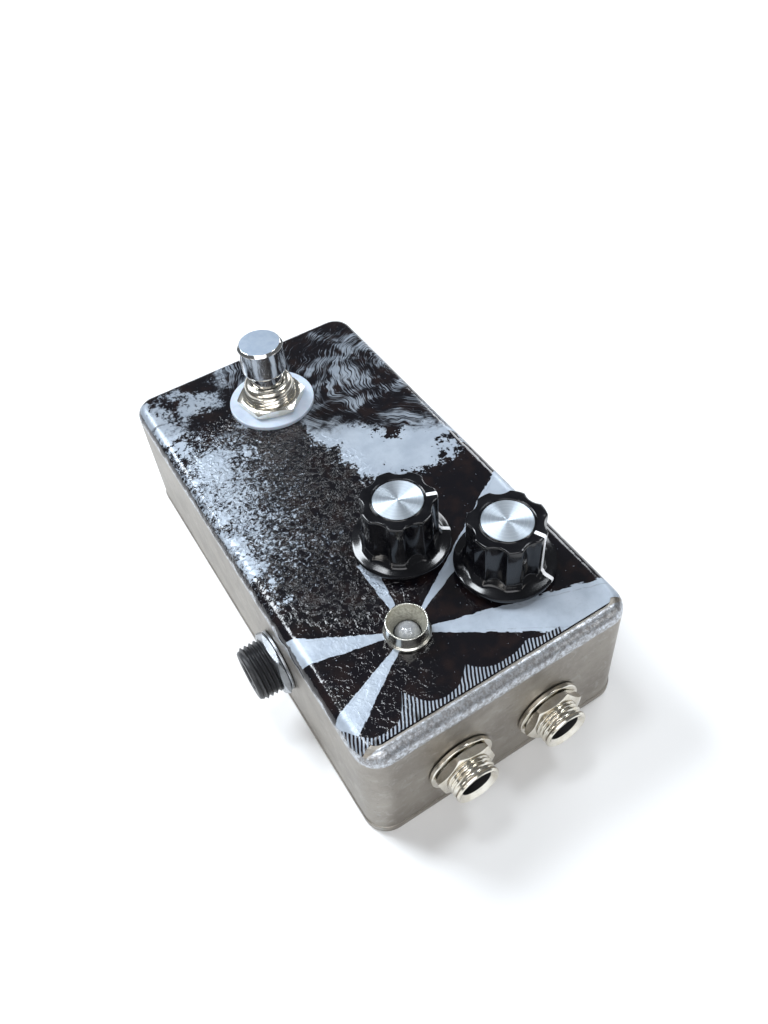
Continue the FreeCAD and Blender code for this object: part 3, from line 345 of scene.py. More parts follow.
def printed_film():
    """Clear film over bright metal, printed in black with rays, combed lines and torn patches."""
    paint = Paint("printed_film")
    x, y, z = paint.axes()
    drawn = paint.shifted(2.2, 0.3)
    wavy_x, wavy_y = paint.axes(drawn)[:2]
    fleck = paint.noise(5.0, 10.0, 0.72, twist=0.4)
    fine = paint.noise(0.25, 3.0, 0.7)

    torn = torn_print(paint, x, y, fleck)
    combed = combed_print(paint, x)
    far_side = (-x * 0.75 - y * 1.15 - 24.0 + (fleck - 0.5) * 24.0).step(0.0, 6.0)
    body = torn + (combed - torn) * far_side

    rays = ray_print(paint, wavy_x, wavy_y)
    waves, band = wave_print(paint, x, wavy_y)
    front = rays + (waves - rays) * band
    near = (y - 17.0 - abs(x - 4.0) * 0.10 + (fleck - 0.5) * 9.0).step(0.0, 0.8)
    near = near.most((-x * 0.9 + y - 26.0).step(0.0, 1.5) * (y - 8.0).step(0.0, 3.0))
    silver = body + (front - body) * near
    worn_dots = paint.noise(0.6, 3.0, 0.7).step(0.70, 0.73)
    silver = silver.most(worn_dots * 0.85)
    folded = (TOP - z - 0.75 + (fleck - 0.5) * 2.2).step(0.0, 0.25) * (45.0 - y).step(0.0, 6.0)
    border = (y - NEAR_BORDER).step(0.0, 0.12).most(folded * 0.95)
    silver = silver * (1.0 - border) * (1.0 - (fine.step(0.60, 0.74) * 0.28))

    tone = paint.noise(6.0, 5.0, 0.65)
    metal = paint.mix(tone.step(0.3, 0.7), (0.345, 0.40, 0.475), (0.44, 0.50, 0.575))
    warmth = paint.noise(3.0, 4.0).step(0.42, 0.70)
    ink = paint.mix(warmth, (0.0045, 0.0040, 0.0060), (0.012, 0.0075, 0.0078))
    colour = paint.mix(silver, ink, metal)

    creases = paint.cells(1.7, "DISTANCE_TO_EDGE", paint.shifted(1.6, 1.0))
    crease_lines = 1.0 - creases.step(0.0, 0.26)
    puffed = mound(x, y, (12.0, -2.0), (13.0, 24.0)).step(0.15, 0.6)
    puffed = puffed.most(mound(x, y, (17.0, 42.0), (10.0, 12.0)).step(0.2, 0.8) * 0.12)
    broken = paint.noise(1.7, 3.0, 0.6).step(0.42, 0.52)
    height = crease_lines * puffed * broken + paint.noise(1.1, 2.0, 0.5) * (0.07 + puffed * 0.45)
    relief = paint.bump(height + paint.noise(5.0, 3.0) * 0.5, 0.30)
    rough = 0.12 + silver * 0.30 + (fine - 0.5) * 0.05
    return paint.finish(Base_Color=colour, Metallic=silver * 0.30, Roughness=rough, Normal=relief,
                        IOR=1.5)


def torn_print(paint, x, y, fleck):
    """Black print, torn away to the metal in ragged patches and loose flecks."""
    bare = None
    for centre, spread, weight in SILVER_PATCHES:
        patch = mound(x, y, centre, spread) * weight
        bare = patch if bare is None else bare.most(patch)
    flakes = paint.noise(1.2, 5.0, 0.75)
    torn = ((fleck - 0.5) * 1.9 + (flakes - 0.5) * 1.2 + bare * 1.05).step(0.47, 0.53)
    scuffed = mound(x, y, (23.0, -14.0), (10.0, 24.0)) * 0.25
    scuffs = paint.noise(0.8, 5.0, 0.8, twist=0.5) + scuffed + (fleck - 0.5) * 0.35
    scuffs = scuffs.step(0.66, 0.72)
    return torn.most(scuffs * 0.95)


def combed_print(paint, x):
    """Fine lines combed in swirls, thinning out into mottled shade."""
    slow = paint.shifted(15.0, 6.0)
    slow_x, slow_y = paint.axes(slow)[:2]
    across = slow_x + 35.0
    along = slow_y + 26.0
    reach = distance(across, along)
    turn = paint.node("ShaderNodeMath", {"operation": "ARCTAN2"}, {0: along, 1: across})
    strokes = paint.noise(1.0, 2.0, 0.6, paint.point(reach * 3.6, turn * 3.0, 0.0))
    shade = paint.noise(7.0, 3.0, 0.55, slow).step(0.36, 0.64)
    mottle = paint.noise(1.0, 6.0, 0.8)
    lines = (strokes + (shade - 0.5) * 0.22).step(0.50, 0.66) * (0.14 + shade * 0.52)
    specks = (mottle + (shade - 0.5) * 0.30 + (x - 14.0) * 0.010).step(0.52, 0.66) * 0.75
    left = (x - 2.0).step(0.0, 10.0)
    return lines + (specks - lines) * left


def ray_print(paint, x, y):
    """Wedges of bare metal that spread from the lamp, with a few scratched lines in each."""
    lamp_x, lamp_y = centre_of("led_bezel")
    across = x - lamp_x
    along = y - lamp_y
    wobble = paint.noise(2.5, 3.0, 0.6)
    rays = None
    for bearing, half, length in RAYS:
        angle = math.radians(bearing)
        ahead = across * math.cos(angle) + along * math.sin(angle)
        aside = abs(along * math.cos(angle) - across * math.sin(angle))
        spread = aside / ahead.most(0.5) / math.tan(math.radians(half))
        inside = 1.0 - (spread + (wobble - 0.5) * 0.16).step(0.97, 1.01)
        scored = (spread * 26.0 + wobble * 3.0).sine().step(0.35, 0.75) * spread.step(0.70, 0.84)
        wedge = inside * ahead.step(0.0, 0.5) * (1.0 - scored * wobble.step(0.42, 0.5))
        if length < FULL_RAY:
            wedge = wedge * (1.0 - (ahead + (wobble - 0.5) * 14.0).step(length - 1.0, length))
        rays = wedge if rays is None else rays.most(wedge)
    return rays


def wave_print(paint, x, y):
    """Hatched waves with pointed crests along the near edge, and where they cover the rays."""
    crest = 1.0 - abs(((x - 4.2) * (math.pi / WAVE_WIDTH)).sine())
    height = 1.1 + crest * crest.root() * (x + 15.0).least(30.0).most(0.0) * 0.17
    band = (y - 52.3 + height).step(0.0, 0.15) * (x + 15.0).step(0.0, 1.0)
    hatch = ((y * 0.55 - x) * (2 * math.pi / HATCH_PITCH) + paint.noise(2.5) * 1.5).sine()
    return hatch.step(-0.05, 0.45) * 0.8, band


def mound(x, y, centre, spread):
    """1 at a centre, falling to 0 at an ellipse of twice the spread."""
    u = (x - centre[0]) / spread[0]
    v = (y - centre[1]) / spread[1]
    return (1.0 - distance(u, v) * 0.5).most(0.0)


def plated(name, colour, rough, tint, spread=2.0):
    """Bright plated metal with faint turning marks, haze and a warmer tint in its shade."""
    paint = Paint(name)
    haze = paint.noise(spread, 4.0, 0.6)
    fine = paint.noise(0.18, 2.0, 0.6)
    shade = paint.mix(haze.step(0.35, 0.75), colour, tint)
    roughness = rough + (haze - 0.5) * 0.10 + (fine - 0.5) * 0.05
    relief = paint.bump(haze * 0.5 + fine * 0.2, 0.02)
    return paint.finish(Base_Color=shade, Metallic=1.0, Roughness=roughness, Normal=relief)


CAP_SATIN = 4.5
# Radius inside which the jack bores are painted dark, as painted shade.
JACK_PAINTED_SHADE_EDGE = 3.22
LAMP_WELL = 3.62
TURNED_LINES = 0.16


def polished_cap():
    """Mirror-bright plating, with a satin top inside its polished rim."""
    paint = Paint("polished_chrome")
    x, y, z = paint.axes()
    centre_x, centre_y = centre_of("footswitch_button")
    across, along = x - centre_x, y - centre_y
    reach = distance(across, along)
    inside_rim = 1.0 - (reach - CAP_SATIN).step(0.0, 0.08)
    top = (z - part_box("footswitch_button")[1].z / MM + 0.06).step(0.0, 0.03) * inside_rim
    haze = paint.noise(1.5, 4.0, 0.6)
    grain = paint.noise(0.25, 3.0, 0.7)
    satin = paint.mix(haze.step(0.3, 0.7), (0.60, 0.72, 0.88), (0.68, 0.79, 0.93))
    colour = paint.mix(top, (0.78, 0.77, 0.76), satin)
    rough = 0.07 + haze * 0.04 + top * 0.33
    return paint.finish(Base_Color=colour, Metallic=1.0, Roughness=rough,
                        Normal=paint.bump(haze * 0.3 + grain * top * 0.4, 0.02))


def sleeve_with_painted_bore_shade():
    """Nickel-plated sleeves whose bores are painted near black and dull: painted shade deep inside
    the bores.
    """
    paint = Paint("nickel_painted_bore_shade")
    x, _, z = paint.axes()
    nearest = None
    for number in ("1", "2"):
        low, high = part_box("jack_" + number + "_barrel")
        across, along = x - (low.x + high.x) / 2 / MM, z - (low.z + high.z) / 2 / MM
        reach = distance(across, along)
        nearest = reach if nearest is None else nearest.least(reach)
    # Painted shade: inside the bore the colour goes near black and the metal dull, standing in for
    # the shade deep in the hole.
    bore = 1.0 - (nearest - JACK_PAINTED_SHADE_EDGE).step(0.0, 0.10)
    haze = paint.noise(2.0, 4.0, 0.6)
    fine = paint.noise(0.18, 2.0, 0.6)
    plate = paint.mix(haze.step(0.35, 0.75), (0.78, 0.75, 0.68), (0.62, 0.57, 0.47))
    colour = paint.mix(bore, plate, (0.012, 0.012, 0.013))
    rough = 0.20 + (haze - 0.5) * 0.10 + bore * 0.4
    return paint.finish(Base_Color=colour, Metallic=1.0 - bore * 0.9, Roughness=rough,
                        Normal=paint.bump(haze * 0.5 + fine * 0.2, 0.02))


def frosted_bezel():
    """Nickel that is polished outside and speckled with frosting inside its well."""
    paint = Paint("frosted_nickel")
    x, y, z = paint.axes()
    centre_x, centre_y = centre_of("led_bezel")
    across, along = x - centre_x, y - centre_y
    reach = distance(across, along)
    well = (1.0 - (reach - LAMP_WELL).step(0.0, 0.1)) * (z - TOP).step(0.0, 0.2)
    speck = paint.noise(0.28, 3.0, 0.8)
    frost = paint.mix(speck.step(0.35, 0.65), (0.36, 0.34, 0.27), (0.78, 0.77, 0.68))
    colour = paint.mix(well, (0.74, 0.73, 0.67), frost)
    rough = 0.20 + well * 0.22 + (speck - 0.5) * 0.15
    return paint.finish(Base_Color=colour, Metallic=1.0 - well * 0.35, Roughness=rough,
                        Normal=paint.bump(speck, 0.03))


def moulded(name, colour, rough, coat=0.0, grain=0.3, depth=0.012):
    """Moulded plastic with a slight unevenness in its colour, gloss and surface."""
    paint = Paint(name)
    patch = paint.noise(3.0, 3.0, 0.5)
    pores = paint.noise(grain, 2.0, 0.6)
    lighter = [channel * 1.25 + 0.004 for channel in colour]
    shade = paint.mix(patch.step(0.35, 0.7), colour, lighter)
    roughness = rough + (patch - 0.5) * 0.06 + (pores - 0.5) * 0.05
    relief = paint.bump(pores * 0.7 + patch * 0.5, depth)
    return paint.finish(Base_Color=shade, Roughness=roughness, Normal=relief,
                        Coat_Weight=coat, Coat_Roughness=0.05)


def spun_disc(name, node):
    """Bright disc with the fine circular lines that a lathe leaves."""
    paint = Paint(name)
    centre_x, centre_y = centre_of(node)
    x, y = paint.axes()[:2]
    across = x - centre_x
    along = y - centre_y
    reach = distance(across, along)
    lines = (reach * (2 * math.pi / TURNED_LINES) + paint.noise(1.5) * 1.2).sine()
    uneven = paint.noise(0.5, 2.0, 0.5, paint.point(reach * 3.0, 0.0, 0.0))
    shade = paint.mix(uneven.step(0.35, 0.65), (0.56, 0.64, 0.72), (0.72, 0.79, 0.86))
    rough = 0.44 + (uneven - 0.5) * 0.10
    relief = paint.bump(lines * 0.5 + uneven, 0.006)
    return paint.finish(Base_Color=shade, Metallic=1.0, Roughness=rough, Normal=relief,
                        Anisotropic=0.85, Anisotropic_Rotation=0.25)


def centre_of(node):
    low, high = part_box(node)
    return (low.x + high.x) / 2 / MM, (low.y + high.y) / 2 / MM


def nylon():
    paint = Paint("white_nylon")
    patch = paint.noise(2.5, 3.0, 0.5)
    shade = paint.mix(patch.step(0.3, 0.7), (0.47, 0.55, 0.66), (0.55, 0.62, 0.72))
    relief = paint.bump(patch * 0.5 + paint.noise(0.3) * 0.3, 0.015)
    return paint.finish(Base_Color=shade, Roughness=0.34 + (patch - 0.5) * 0.1, Normal=relief,
                        Subsurface_Weight=0.15, Subsurface_Scale=0.0015)


def clear_lens():
    paint = Paint("clear_lens")
    patch = paint.noise(1.0, 2.0, 0.5)
    shade = paint.mix(patch, (0.66, 0.68, 0.72), (0.78, 0.80, 0.84))
    return paint.finish(Base_Color=shade, Roughness=0.03 + patch * 0.04, Transmission_Weight=0.62,
                        IOR=1.5, Normal=paint.bump(patch, 0.01))


def laminate_board():
    """Green solder mask with copper tracks showing through it and bright pads."""
    paint = Paint("board_green")
    route = paint.shifted(7.0, 2.0)
    tracks = 1.0 - paint.cells(5.0, "DISTANCE_TO_EDGE", route).step(0.05, 0.09)
    pads = 1.0 - paint.cells(2.54, "F1").step(0.22, 0.27)
    green = paint.mix(tracks, (0.012, 0.085, 0.040), (0.035, 0.19, 0.085))
    colour = paint.mix(pads, green, (0.62, 0.60, 0.55))
    return paint.finish(Base_Color=colour, Metallic=pads, Roughness=0.35 - tracks * 0.08,
                        Normal=paint.bump(tracks + pads * 0.5, 0.03))


def banded(name, colour, band, pitch):
    """Small lacquered component with coloured bands across it."""
    paint = Paint(name)
    x = paint.axes()[0]
    stripe = (x * (2 * math.pi / pitch)).sine().step(0.55, 0.65)
    patch = paint.noise(1.0, 2.0, 0.5)
    shade = paint.mix(stripe, paint.mix(patch, colour, [c * 0.8 for c in colour]), band)
    return paint.finish(Base_Color=shade, Roughness=0.35 + patch * 0.1,
                        Normal=paint.bump(patch, 0.02))


def foam():
    paint = Paint("foam_grey")
    pores = paint.cells(0.9, "F1")
    shade = paint.mix(pores.step(0.1, 0.5), (0.03, 0.03, 0.032), (0.13, 0.13, 0.135))
    return paint.finish(Base_Color=shade, Roughness=0.9 - pores * 0.1,
                        Normal=paint.bump(pores, 0.3))


def floor_finish():
    paint = Paint("pale_floor")
    patch = paint.noise(400.0, 2.0, 0.5)
    shade = paint.mix(patch, (0.90, 0.90, 0.90), (0.93, 0.93, 0.93))
    return paint.finish(Base_Color=shade, Roughness=0.9 - patch * 0.05)


FINISHES = {
    "cast_aluminium": cast_aluminium(),
    "printed_film": printed_film(),
    "zinc_steel": plated("zinc_steel", (0.44, 0.46, 0.49), 0.34, (0.30, 0.32, 0.34)),
    "nickel": plated("nickel", (0.78, 0.75, 0.68), 0.20, (0.62, 0.57, 0.47)),
    "polished_chrome": polished_cap(),
    "frosted_nickel": frosted_bezel(),
    "nickel_painted_bore_shade": sleeve_with_painted_bore_shade(),
    "white_nylon": nylon(),
    "clear_lens": clear_lens(),
    "knob_black": moulded("knob_black", (0.0025, 0.0026, 0.0040), 0.13, depth=0.002),
    "pointer_white": moulded("pointer_white", (0.85, 0.86, 0.88), 0.30),
    "brass": plated("brass", (0.78, 0.60, 0.30), 0.24, (0.62, 0.44, 0.20)),
    "black_moulding": moulded("black_moulding", (0.011, 0.011, 0.013), 0.42, depth=0.02),
    "blue_moulding": moulded("blue_moulding", (0.02, 0.10, 0.36), 0.38, depth=0.02),
    "phenolic": moulded("phenolic", (0.20, 0.09, 0.035), 0.50, depth=0.03),
    "tinned_lug": plated("tinned_lug", (0.72, 0.72, 0.70), 0.32, (0.52, 0.51, 0.48), 0.8),
    "spring_steel": plated("spring_steel", (0.50, 0.51, 0.53), 0.28, (0.36, 0.36, 0.38)),
    "board_green": laminate_board(),
    "capacitor_sleeve": banded("capacitor_sleeve", (0.012, 0.014, 0.030), (0.50, 0.52, 0.55), 9.0),
    "capacitor_red": moulded("capacitor_red", (0.42, 0.03, 0.02), 0.28, coat=0.4),
    "resistor_tan": banded("resistor_tan", (0.60, 0.42, 0.22), (0.20, 0.05, 0.02), 1.4),
    "foam_grey": foam(),
    "wire_insulation": moulded("wire_insulation", (0.40, 0.02, 0.02), 0.40),
}


# ---------------------------------------------------------------- mesh making

def make_piece(name, points, faces, slot, body, stands_for=(), sharp=32.0, finish=None):
    """A mesh piece from points in millimetres, riding on a body in place of CAD nodes."""
    mesh = bpy.data.meshes.new(name)
    mesh.from_pydata([Vector(point) * MM for point in points], [], faces)
    shape = bmesh.new()
    shape.from_mesh(mesh)
    bmesh.ops.remove_doubles(shape, verts=shape.verts, dist=0.002 * MM)
    bmesh.ops.dissolve_degenerate(shape, dist=0.0005 * MM, edges=shape.edges)
    bmesh.ops.recalc_face_normals(shape, faces=shape.faces)
    for face in shape.faces:
        face.smooth = True
    shape.to_mesh(mesh)
    shape.free()
    mesh.set_sharp_from_angle(angle=math.radians(sharp))
    mesh.materials.append(finish or FINISHES[slot])
    piece = bpy.data.objects.new(name, mesh)
    bpy.context.scene.collection.objects.link(piece)
    shading = piece.modifiers.new("flat_faces_stay_flat", "WEIGHTED_NORMAL")
    shading.keep_sharp = True
    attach(piece, body)
    if stands_for:
        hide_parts(*stands_for)
    return piece


def softened(corners, steps=4):
    """Profile through (radius, height, rounding) corners, each turned into an arc."""
    line = []
    for index, (r, z, rounding) in enumerate(corners):
        here = Vector((r, z))
        before = Vector(corners[index - 1][:2])
        after = Vector(corners[(index + 1) % len(corners)][:2])
        if rounding <= 0:
            line.append((r, z))
            continue
        back = (before - here).normalized()
        on = (after - here).normalized()
        half = back.angle(on) / 2
        start = here + back * (rounding / math.tan(half))
        centre = here + (back + on).normalized() * (rounding / math.sin(half))
        end = here + on * (rounding / math.tan(half))
        for step in range(steps + 1):
            share = step / steps
            reach = (start - centre).lerp(end - centre, share).normalized()
            line.append(tuple(centre + reach * rounding))
    return line


def turned(profile_at, segments):
    """Points and faces of a closed profile carried round +Z. It may change with the angle."""
    points = []
    columns = [profile_at(2 * math.pi * index / segments) for index in range(segments)]
    rows = len(columns[0])
    for index, column in enumerate(columns):
        angle = 2 * math.pi * index / segments
        points += [(r * math.cos(angle), r * math.sin(angle), z) for r, z in column]
    faces = []
    for index in range(segments):
        here = index * rows
        beside = (index + 1) % segments * rows
        for row in range(rows):
            above = (row + 1) % rows
            faces.append((here + row, beside + row, beside + above, here + above))
    return points, faces


def placed(points, place, axis="Z", turn=0.0):
    """Points moved from the +Z axis to an axis through place, turned about it in degrees."""
    spin = Matrix.Rotation(math.radians(turn), 3, "Z")
    lean = {"Z": Matrix.Identity(3), "Y": Matrix.Rotation(-math.pi / 2, 3, "X"),
            "X": Matrix.Rotation(math.pi / 2, 3, "Y")}[axis]
    return [Vector(place) + lean @ (spin @ Vector(point)) for point in points]


def lathe(name, corners, place, slot, body, stands_for, axis="Z", segments=96, sharp=32.0,
          finish=None):
    line = softened(corners)
    points, faces = turned(lambda angle: line, segments)
    points = placed(points, place, axis)
    return make_piece(name, points, faces, slot, body, stands_for, sharp, finish)


def spans(node):
    """A node's box in millimetres: lowest corner, highest corner and centre."""
    low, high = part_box(node)
    return low / MM, high / MM, (low + high) / 2 / MM


def nut_mesh(across_flats, bore, height, face_share=0.97, both=True):
    """Hexagon nut from z 0 to height, its corners cut to arcs by a 30 degree chamfer."""
    flat = across_flats / 2
    face = flat * face_share
    slope = math.tan(math.radians(30))
    lead = 0.35

    def profile(angle):
        corner = (angle + math.pi / 6) % (math.pi / 3) - math.pi / 6
        edge = min(flat / math.cos(corner), flat * 1.143)
        top = height - max(edge - face, 0.0) * slope
        base = max(edge - face, 0.0) * slope if both else 0.0
        foot = face if both else edge - 0.02
        return [(bore, lead), (bore + lead, 0.0), (foot, 0.0), (edge, base),
                (edge, top), (face, height), (bore + lead, height), (bore, height - lead)]

    return turned(profile, 144)


def thread_rows(start, end, pitch, root, crest, rows=8):
    """Radius and height rows of a screw thread, as a function of the angle round it."""
    count = max(2, round((end - start) / pitch * rows))

    def profile(angle):
        line = []
        for row in range(count + 1):
            z = start + (end - start) * row / count
            phase = (z / pitch - angle / (2 * math.pi)) % 1.0
            tooth = min(max(abs(phase - 0.5) * 2.9 - 0.30, 0.0), 1.0)
            fade = min(1.0, min(z - start, end - z) / (0.45 * pitch))
            line.append((root + (crest - root) * tooth * fade, z))
        return line

    return profile


# ---------------------------------------------------------------- box and film

BOX_LOW, BOX_HIGH = spans("enclosure")[:2]
DRAFT = math.tan(math.radians(1.0))
SHOULDER = 2.7
CORNER = 4.9
TOP_HALF = (BOX_HIGH.x - (TOP - BOX_LOW.z) * DRAFT, BOX_HIGH.y - (TOP - BOX_LOW.z) * DRAFT)
FILM = 0.09
WRAP_LEFT, WRAP_RIGHT, WRAP_LOST_AT_CORNER, WRAP_LEAST = 66.0, 74.0, 22.0, 4.0


def contour(half_x, half_y, radius, steps=10, pitch=1.1):
    """Rounded rectangle as (point, outward direction) pairs, anticlockwise from +X."""
    line = []
    turns = [(1, 1, 0), (-1, 1, 90), (-1, -1, 180), (1, -1, 270)]
    for side_x, side_y, start in turns:
        middle = Vector((side_x * (half_x - radius), side_y * (half_y - radius)))
        for step in range(steps + 1):
            angle = math.radians(start + 90 * step / steps)
            out = Vector((math.cos(angle), math.sin(angle)))
            line.append((middle + out * radius, out))
    full = []
    for index, (point, out) in enumerate(line):
        after, next_out = line[(index + 1) % len(line)]
        parts = max(1, round((after - point).length / pitch))
        for part in range(parts):
            share = part / parts
            full.append((point.lerp(after, share), out.lerp(next_out, share).normalized()))
    return full


def film_reach(point, out):
    """How far round the shoulder the film goes, in degrees, with a ragged edge."""
    ragged = noise.fractal(Vector((point.x, point.y, 0)) * 0.35, 0.6, 2.2, 5) * 16
    fine = noise.noise(Vector((point.x, point.y, 3)) * 2.1) * 5
    if out.y > 0.5:
        return 0.0
    corner = max(0.0, min(1.0, (point.y - 44.0) / 6.0))
    wrap = WRAP_LEFT if point.x < 0 else WRAP_RIGHT
    return max(WRAP_LEAST, wrap + ragged + fine - corner * WRAP_LOST_AT_CORNER)


def build_film():
    ring = contour(TOP_HALF[0] - SHOULDER, TOP_HALF[1] - SHOULDER, CORNER - SHOULDER)
    bend = SHOULDER + FILM
    steps = 8
    points, faces = [], []
    for point, out in ring:
        reach = math.radians(film_reach(point, out))
        for step in range(1, steps + 1):
            angle = reach * step / steps
            lift = 0.03 * noise.noise(Vector((point.x, point.y, step)) * 1.2)
            place = point + out * ((bend + lift) * math.sin(angle))
            points.append((place.x, place.y, TOP - SHOULDER + (bend + lift) * math.cos(angle)))
    count = len(ring)
    for index in range(count):
        here, beside = index * steps, (index + 1) % count * steps
        for step in range(steps - 1):
            faces.append((here + step, here + step + 1, beside + step + 1, beside + step))
    flat_points, flat_faces, rim = film_flat([point for point, out in ring])
    base = len(points)
    points += flat_points
    faces += [tuple(base + corner for corner in face) for face in flat_faces]
    for index in range(count):
        beside = (index + 1) % count
        faces.append((base + rim[index], index * steps, beside * steps, base + rim[beside]))
    film = make_piece("film_wrap", points, faces, "printed_film", "root", ["top_film"], sharp=60.0)
    thick = film.modifiers.new("thickness", "SOLIDIFY")
    thick.thickness = 0.06 * MM
    thick.offset = -1.0
    return film


def film_flat(outline):
    """Flat top of the film, with a round hole at each part that comes through it."""
    holes = []
    for node, grow in (("footswitch_bushing", 0.3), ("led_bezel", -0.8), ("pot_1_bushing", 0.2),
                       ("pot_2_bushing", 0.2)):
        low, high, centre = spans(node)
        holes.append((Vector((centre.x, centre.y)), (high.x - low.x) / 2 + grow))
    flat = [point.copy() for point in outline]
    edges = [(index, (index + 1) % len(flat)) for index in range(len(flat))]
    for middle, radius in holes:
        start = len(flat)
        sides = 40
        for side in range(sides):
            angle = 2 * math.pi * side / sides
            flat.append(middle + Vector((math.cos(angle), math.sin(angle))) * radius)
        edges += [(start + side, start + (side + 1) % sides) for side in range(sides)]
    pitch = 1.5
    half_x, half_y = TOP_HALF[0] - SHOULDER - 1.0, TOP_HALF[1] - SHOULDER - 1.0
    for row in range(int(2 * half_y / pitch) + 1):
        for column in range(int(2 * half_x / pitch) + 1):
            spot = Vector((-half_x + column * pitch, -half_y + row * pitch))
            if all((spot - middle).length > radius + 0.6 for middle, radius in holes):
                flat.append(spot)
    spots, _, triangles = delaunay_2d_cdt(flat, edges, [], 1, 1e-5)[:3]
    points, faces = [], []
    for spot in spots:
        lift = 0.02 * noise.noise(Vector((spot.x, spot.y, 0)) * 0.35)
        points.append((spot.x, spot.y, TOP + FILM + lift))
    for face in triangles:
        middle = sum((spots[corner] for corner in face), Vector((0, 0))) / len(face)
        if all((middle - hole).length > radius for hole, radius in holes):
            faces.append(tuple(face))
    rim = [spots.index(min(spots, key=lambda spot: (spot - point).length)) for point in outline]
    return points, faces, rim


# ---------------------------------------------------------------- knobs

KNOBS = {"1": 158.0, "2": 115.5}
KNOB_HEIGHT = 12.2
GRIP = 7.6
SKIRT = 10.0
FLUTES = 7
FLUTE_ROUND = 3.4
FLUTE_DEPTH = 0.9
POINTER_OFFSET = 180.0 / FLUTES


def grip_radius(angle):
    """Radius of the fluted grip at an angle, with the ribs between flutes slightly rounded."""
    step = 2 * math.pi / FLUTES
    from_flute = (angle + step / 2) % step - step / 2
    away = GRIP - FLUTE_DEPTH + FLUTE_ROUND
    inside = FLUTE_ROUND ** 2 - (away * math.sin(from_flute)) ** 2
    scoop = away * math.cos(from_flute) - math.sqrt(inside) if inside > 0 else GRIP + 2
    blend = 0.10
    gap = max(blend - abs(GRIP - scoop), 0.0) / blend
    return min(GRIP, scoop) - gap * gap * blend / 4


def knob_profile(angle):
    grip = grip_radius(angle)
    cone = 0.28
    line = [(3.6, 0.0), (SKIRT - 0.25, 0.0), (SKIRT - 0.07, 0.07), (SKIRT, 0.25), (SKIRT, 0.70),
            (SKIRT - 0.06, 0.86), (SKIRT - 0.22, 0.95)]
    for step in range(1, 9):
        share = step / 8
        r = SKIRT - 0.22 + (grip + 0.30 - SKIRT + 0.22) * share
        line.append((r, 0.95 + (SKIRT - 0.22 - r) * (cone + 0.35 * share ** 9)))
    foot = line[-1][1]
    line += [(grip + 0.09, foot + 0.14), (grip, foot + 0.42)]
    line += [(grip, foot + (KNOB_HEIGHT - 0.4 - foot) * step / 4) for step in range(1, 5)]
    line += [(grip - 0.05, KNOB_HEIGHT - 0.19), (grip - 0.17, KNOB_HEIGHT - 0.06),
             (grip - 0.34, KNOB_HEIGHT), (5.45, KNOB_HEIGHT)]
    line += [(5.35, KNOB_HEIGHT - 0.04), (5.28, KNOB_HEIGHT - 0.10), (5.22, KNOB_HEIGHT - 0.02),
             (5.12, KNOB_HEIGHT + 0.06), (4.99, KNOB_HEIGHT + 0.06), (4.93, KNOB_HEIGHT - 0.02),
             (4.93, KNOB_HEIGHT - 0.5), (3.6, KNOB_HEIGHT - 0.5)]
    return line


def build_knob(number, turn):
    low = spans("knob_" + number + "_body")[0]
    shaft = spans("pot_" + number + "_shaft")[2]
    place = (shaft.x, shaft.y, low.z)
    zero = turn - POINTER_OFFSET
    body = "knob_" + number
    points, faces = turned(knob_profile, FLUTES * 36)
    make_piece(body + "_shell", placed(points, place, "Z", zero), faces, "knob_black", body,
               [body + "_body"], sharp=40.0)
    points, faces = pointer_strip(math.radians(POINTER_OFFSET))
    make_piece(body + "_inlay", placed(points, place, "Z", zero), faces, "pointer_white", body,
               [body + "_pointer"], sharp=40.0)
    disc_low, disc_high = spans(body + "_disc")[:2]
    thick = disc_high.z - disc_low.z
    corners = [(0.02, 0.0, 0), (4.9, 0.0, 0), (4.9, thick, 0.08)]
    rings = 12
    corners += [(4.7 * (rings - ring) / rings, thick, 0) for ring in range(rings)]
    corners += [(0.30, thick - 0.01, 0), (0.02, thick - 0.08, 0)]
    points, faces = turned(lambda angle: softened(corners), 128)
    make_piece(body + "_spun_disc", placed(points, (shaft.x, shaft.y, disc_low.z)), faces,
               "spun_aluminium", body, [body + "_disc"], sharp=50.0,
               finish=spun_disc("spun_aluminium_" + number, body + "_disc"))


def pointer_strip(angle, width=0.78, proud=0.05, sunk=0.25):
    """Inlaid line from beside the disc, over the rim and down the grip to the skirt's edge."""
    path = [(r, z) for r, z in knob_profile(angle) if z > 0.2 and r > 5.4]
    path = path[::-1]
    rows = []
    for index, (r, z) in enumerate(path):
        before = Vector(path[max(index - 1, 0)])
        after = Vector(path[min(index + 1, len(path) - 1)])
        along = (after - before).normalized()
        out = Vector((-along.y, along.x))
        here = Vector((r, z))
        outer, inner = here + out * proud, here - out * sunk
        rows.append([(outer.x, width / 2, outer.y), (outer.x, -width / 2, outer.y),
                     (inner.x, -width / 2, inner.y), (inner.x, width / 2, inner.y)])
    spin = Matrix.Rotation(angle, 3, "Z")
    points = [spin @ Vector(point) for row in rows for point in row]
    faces = [(0, 1, 2, 3), tuple(len(points) - 4 + corner for corner in (3, 2, 1, 0))]
    for index in range(len(rows) - 1):
        for corner in range(4):
            beside = (corner + 1) % 4
            faces.append((index * 4 + corner, index * 4 + beside, index * 4 + 4 + beside,
                          index * 4 + 4 + corner))
    return points, faces


# ---------------------------------------------------------------- footswitch

SWITCH_NUT_TURN = 12.0
CAP_NECK = 3.7
PLUNGER_BORE = 3.42
PLUNGER_HOLLOW = 2.8


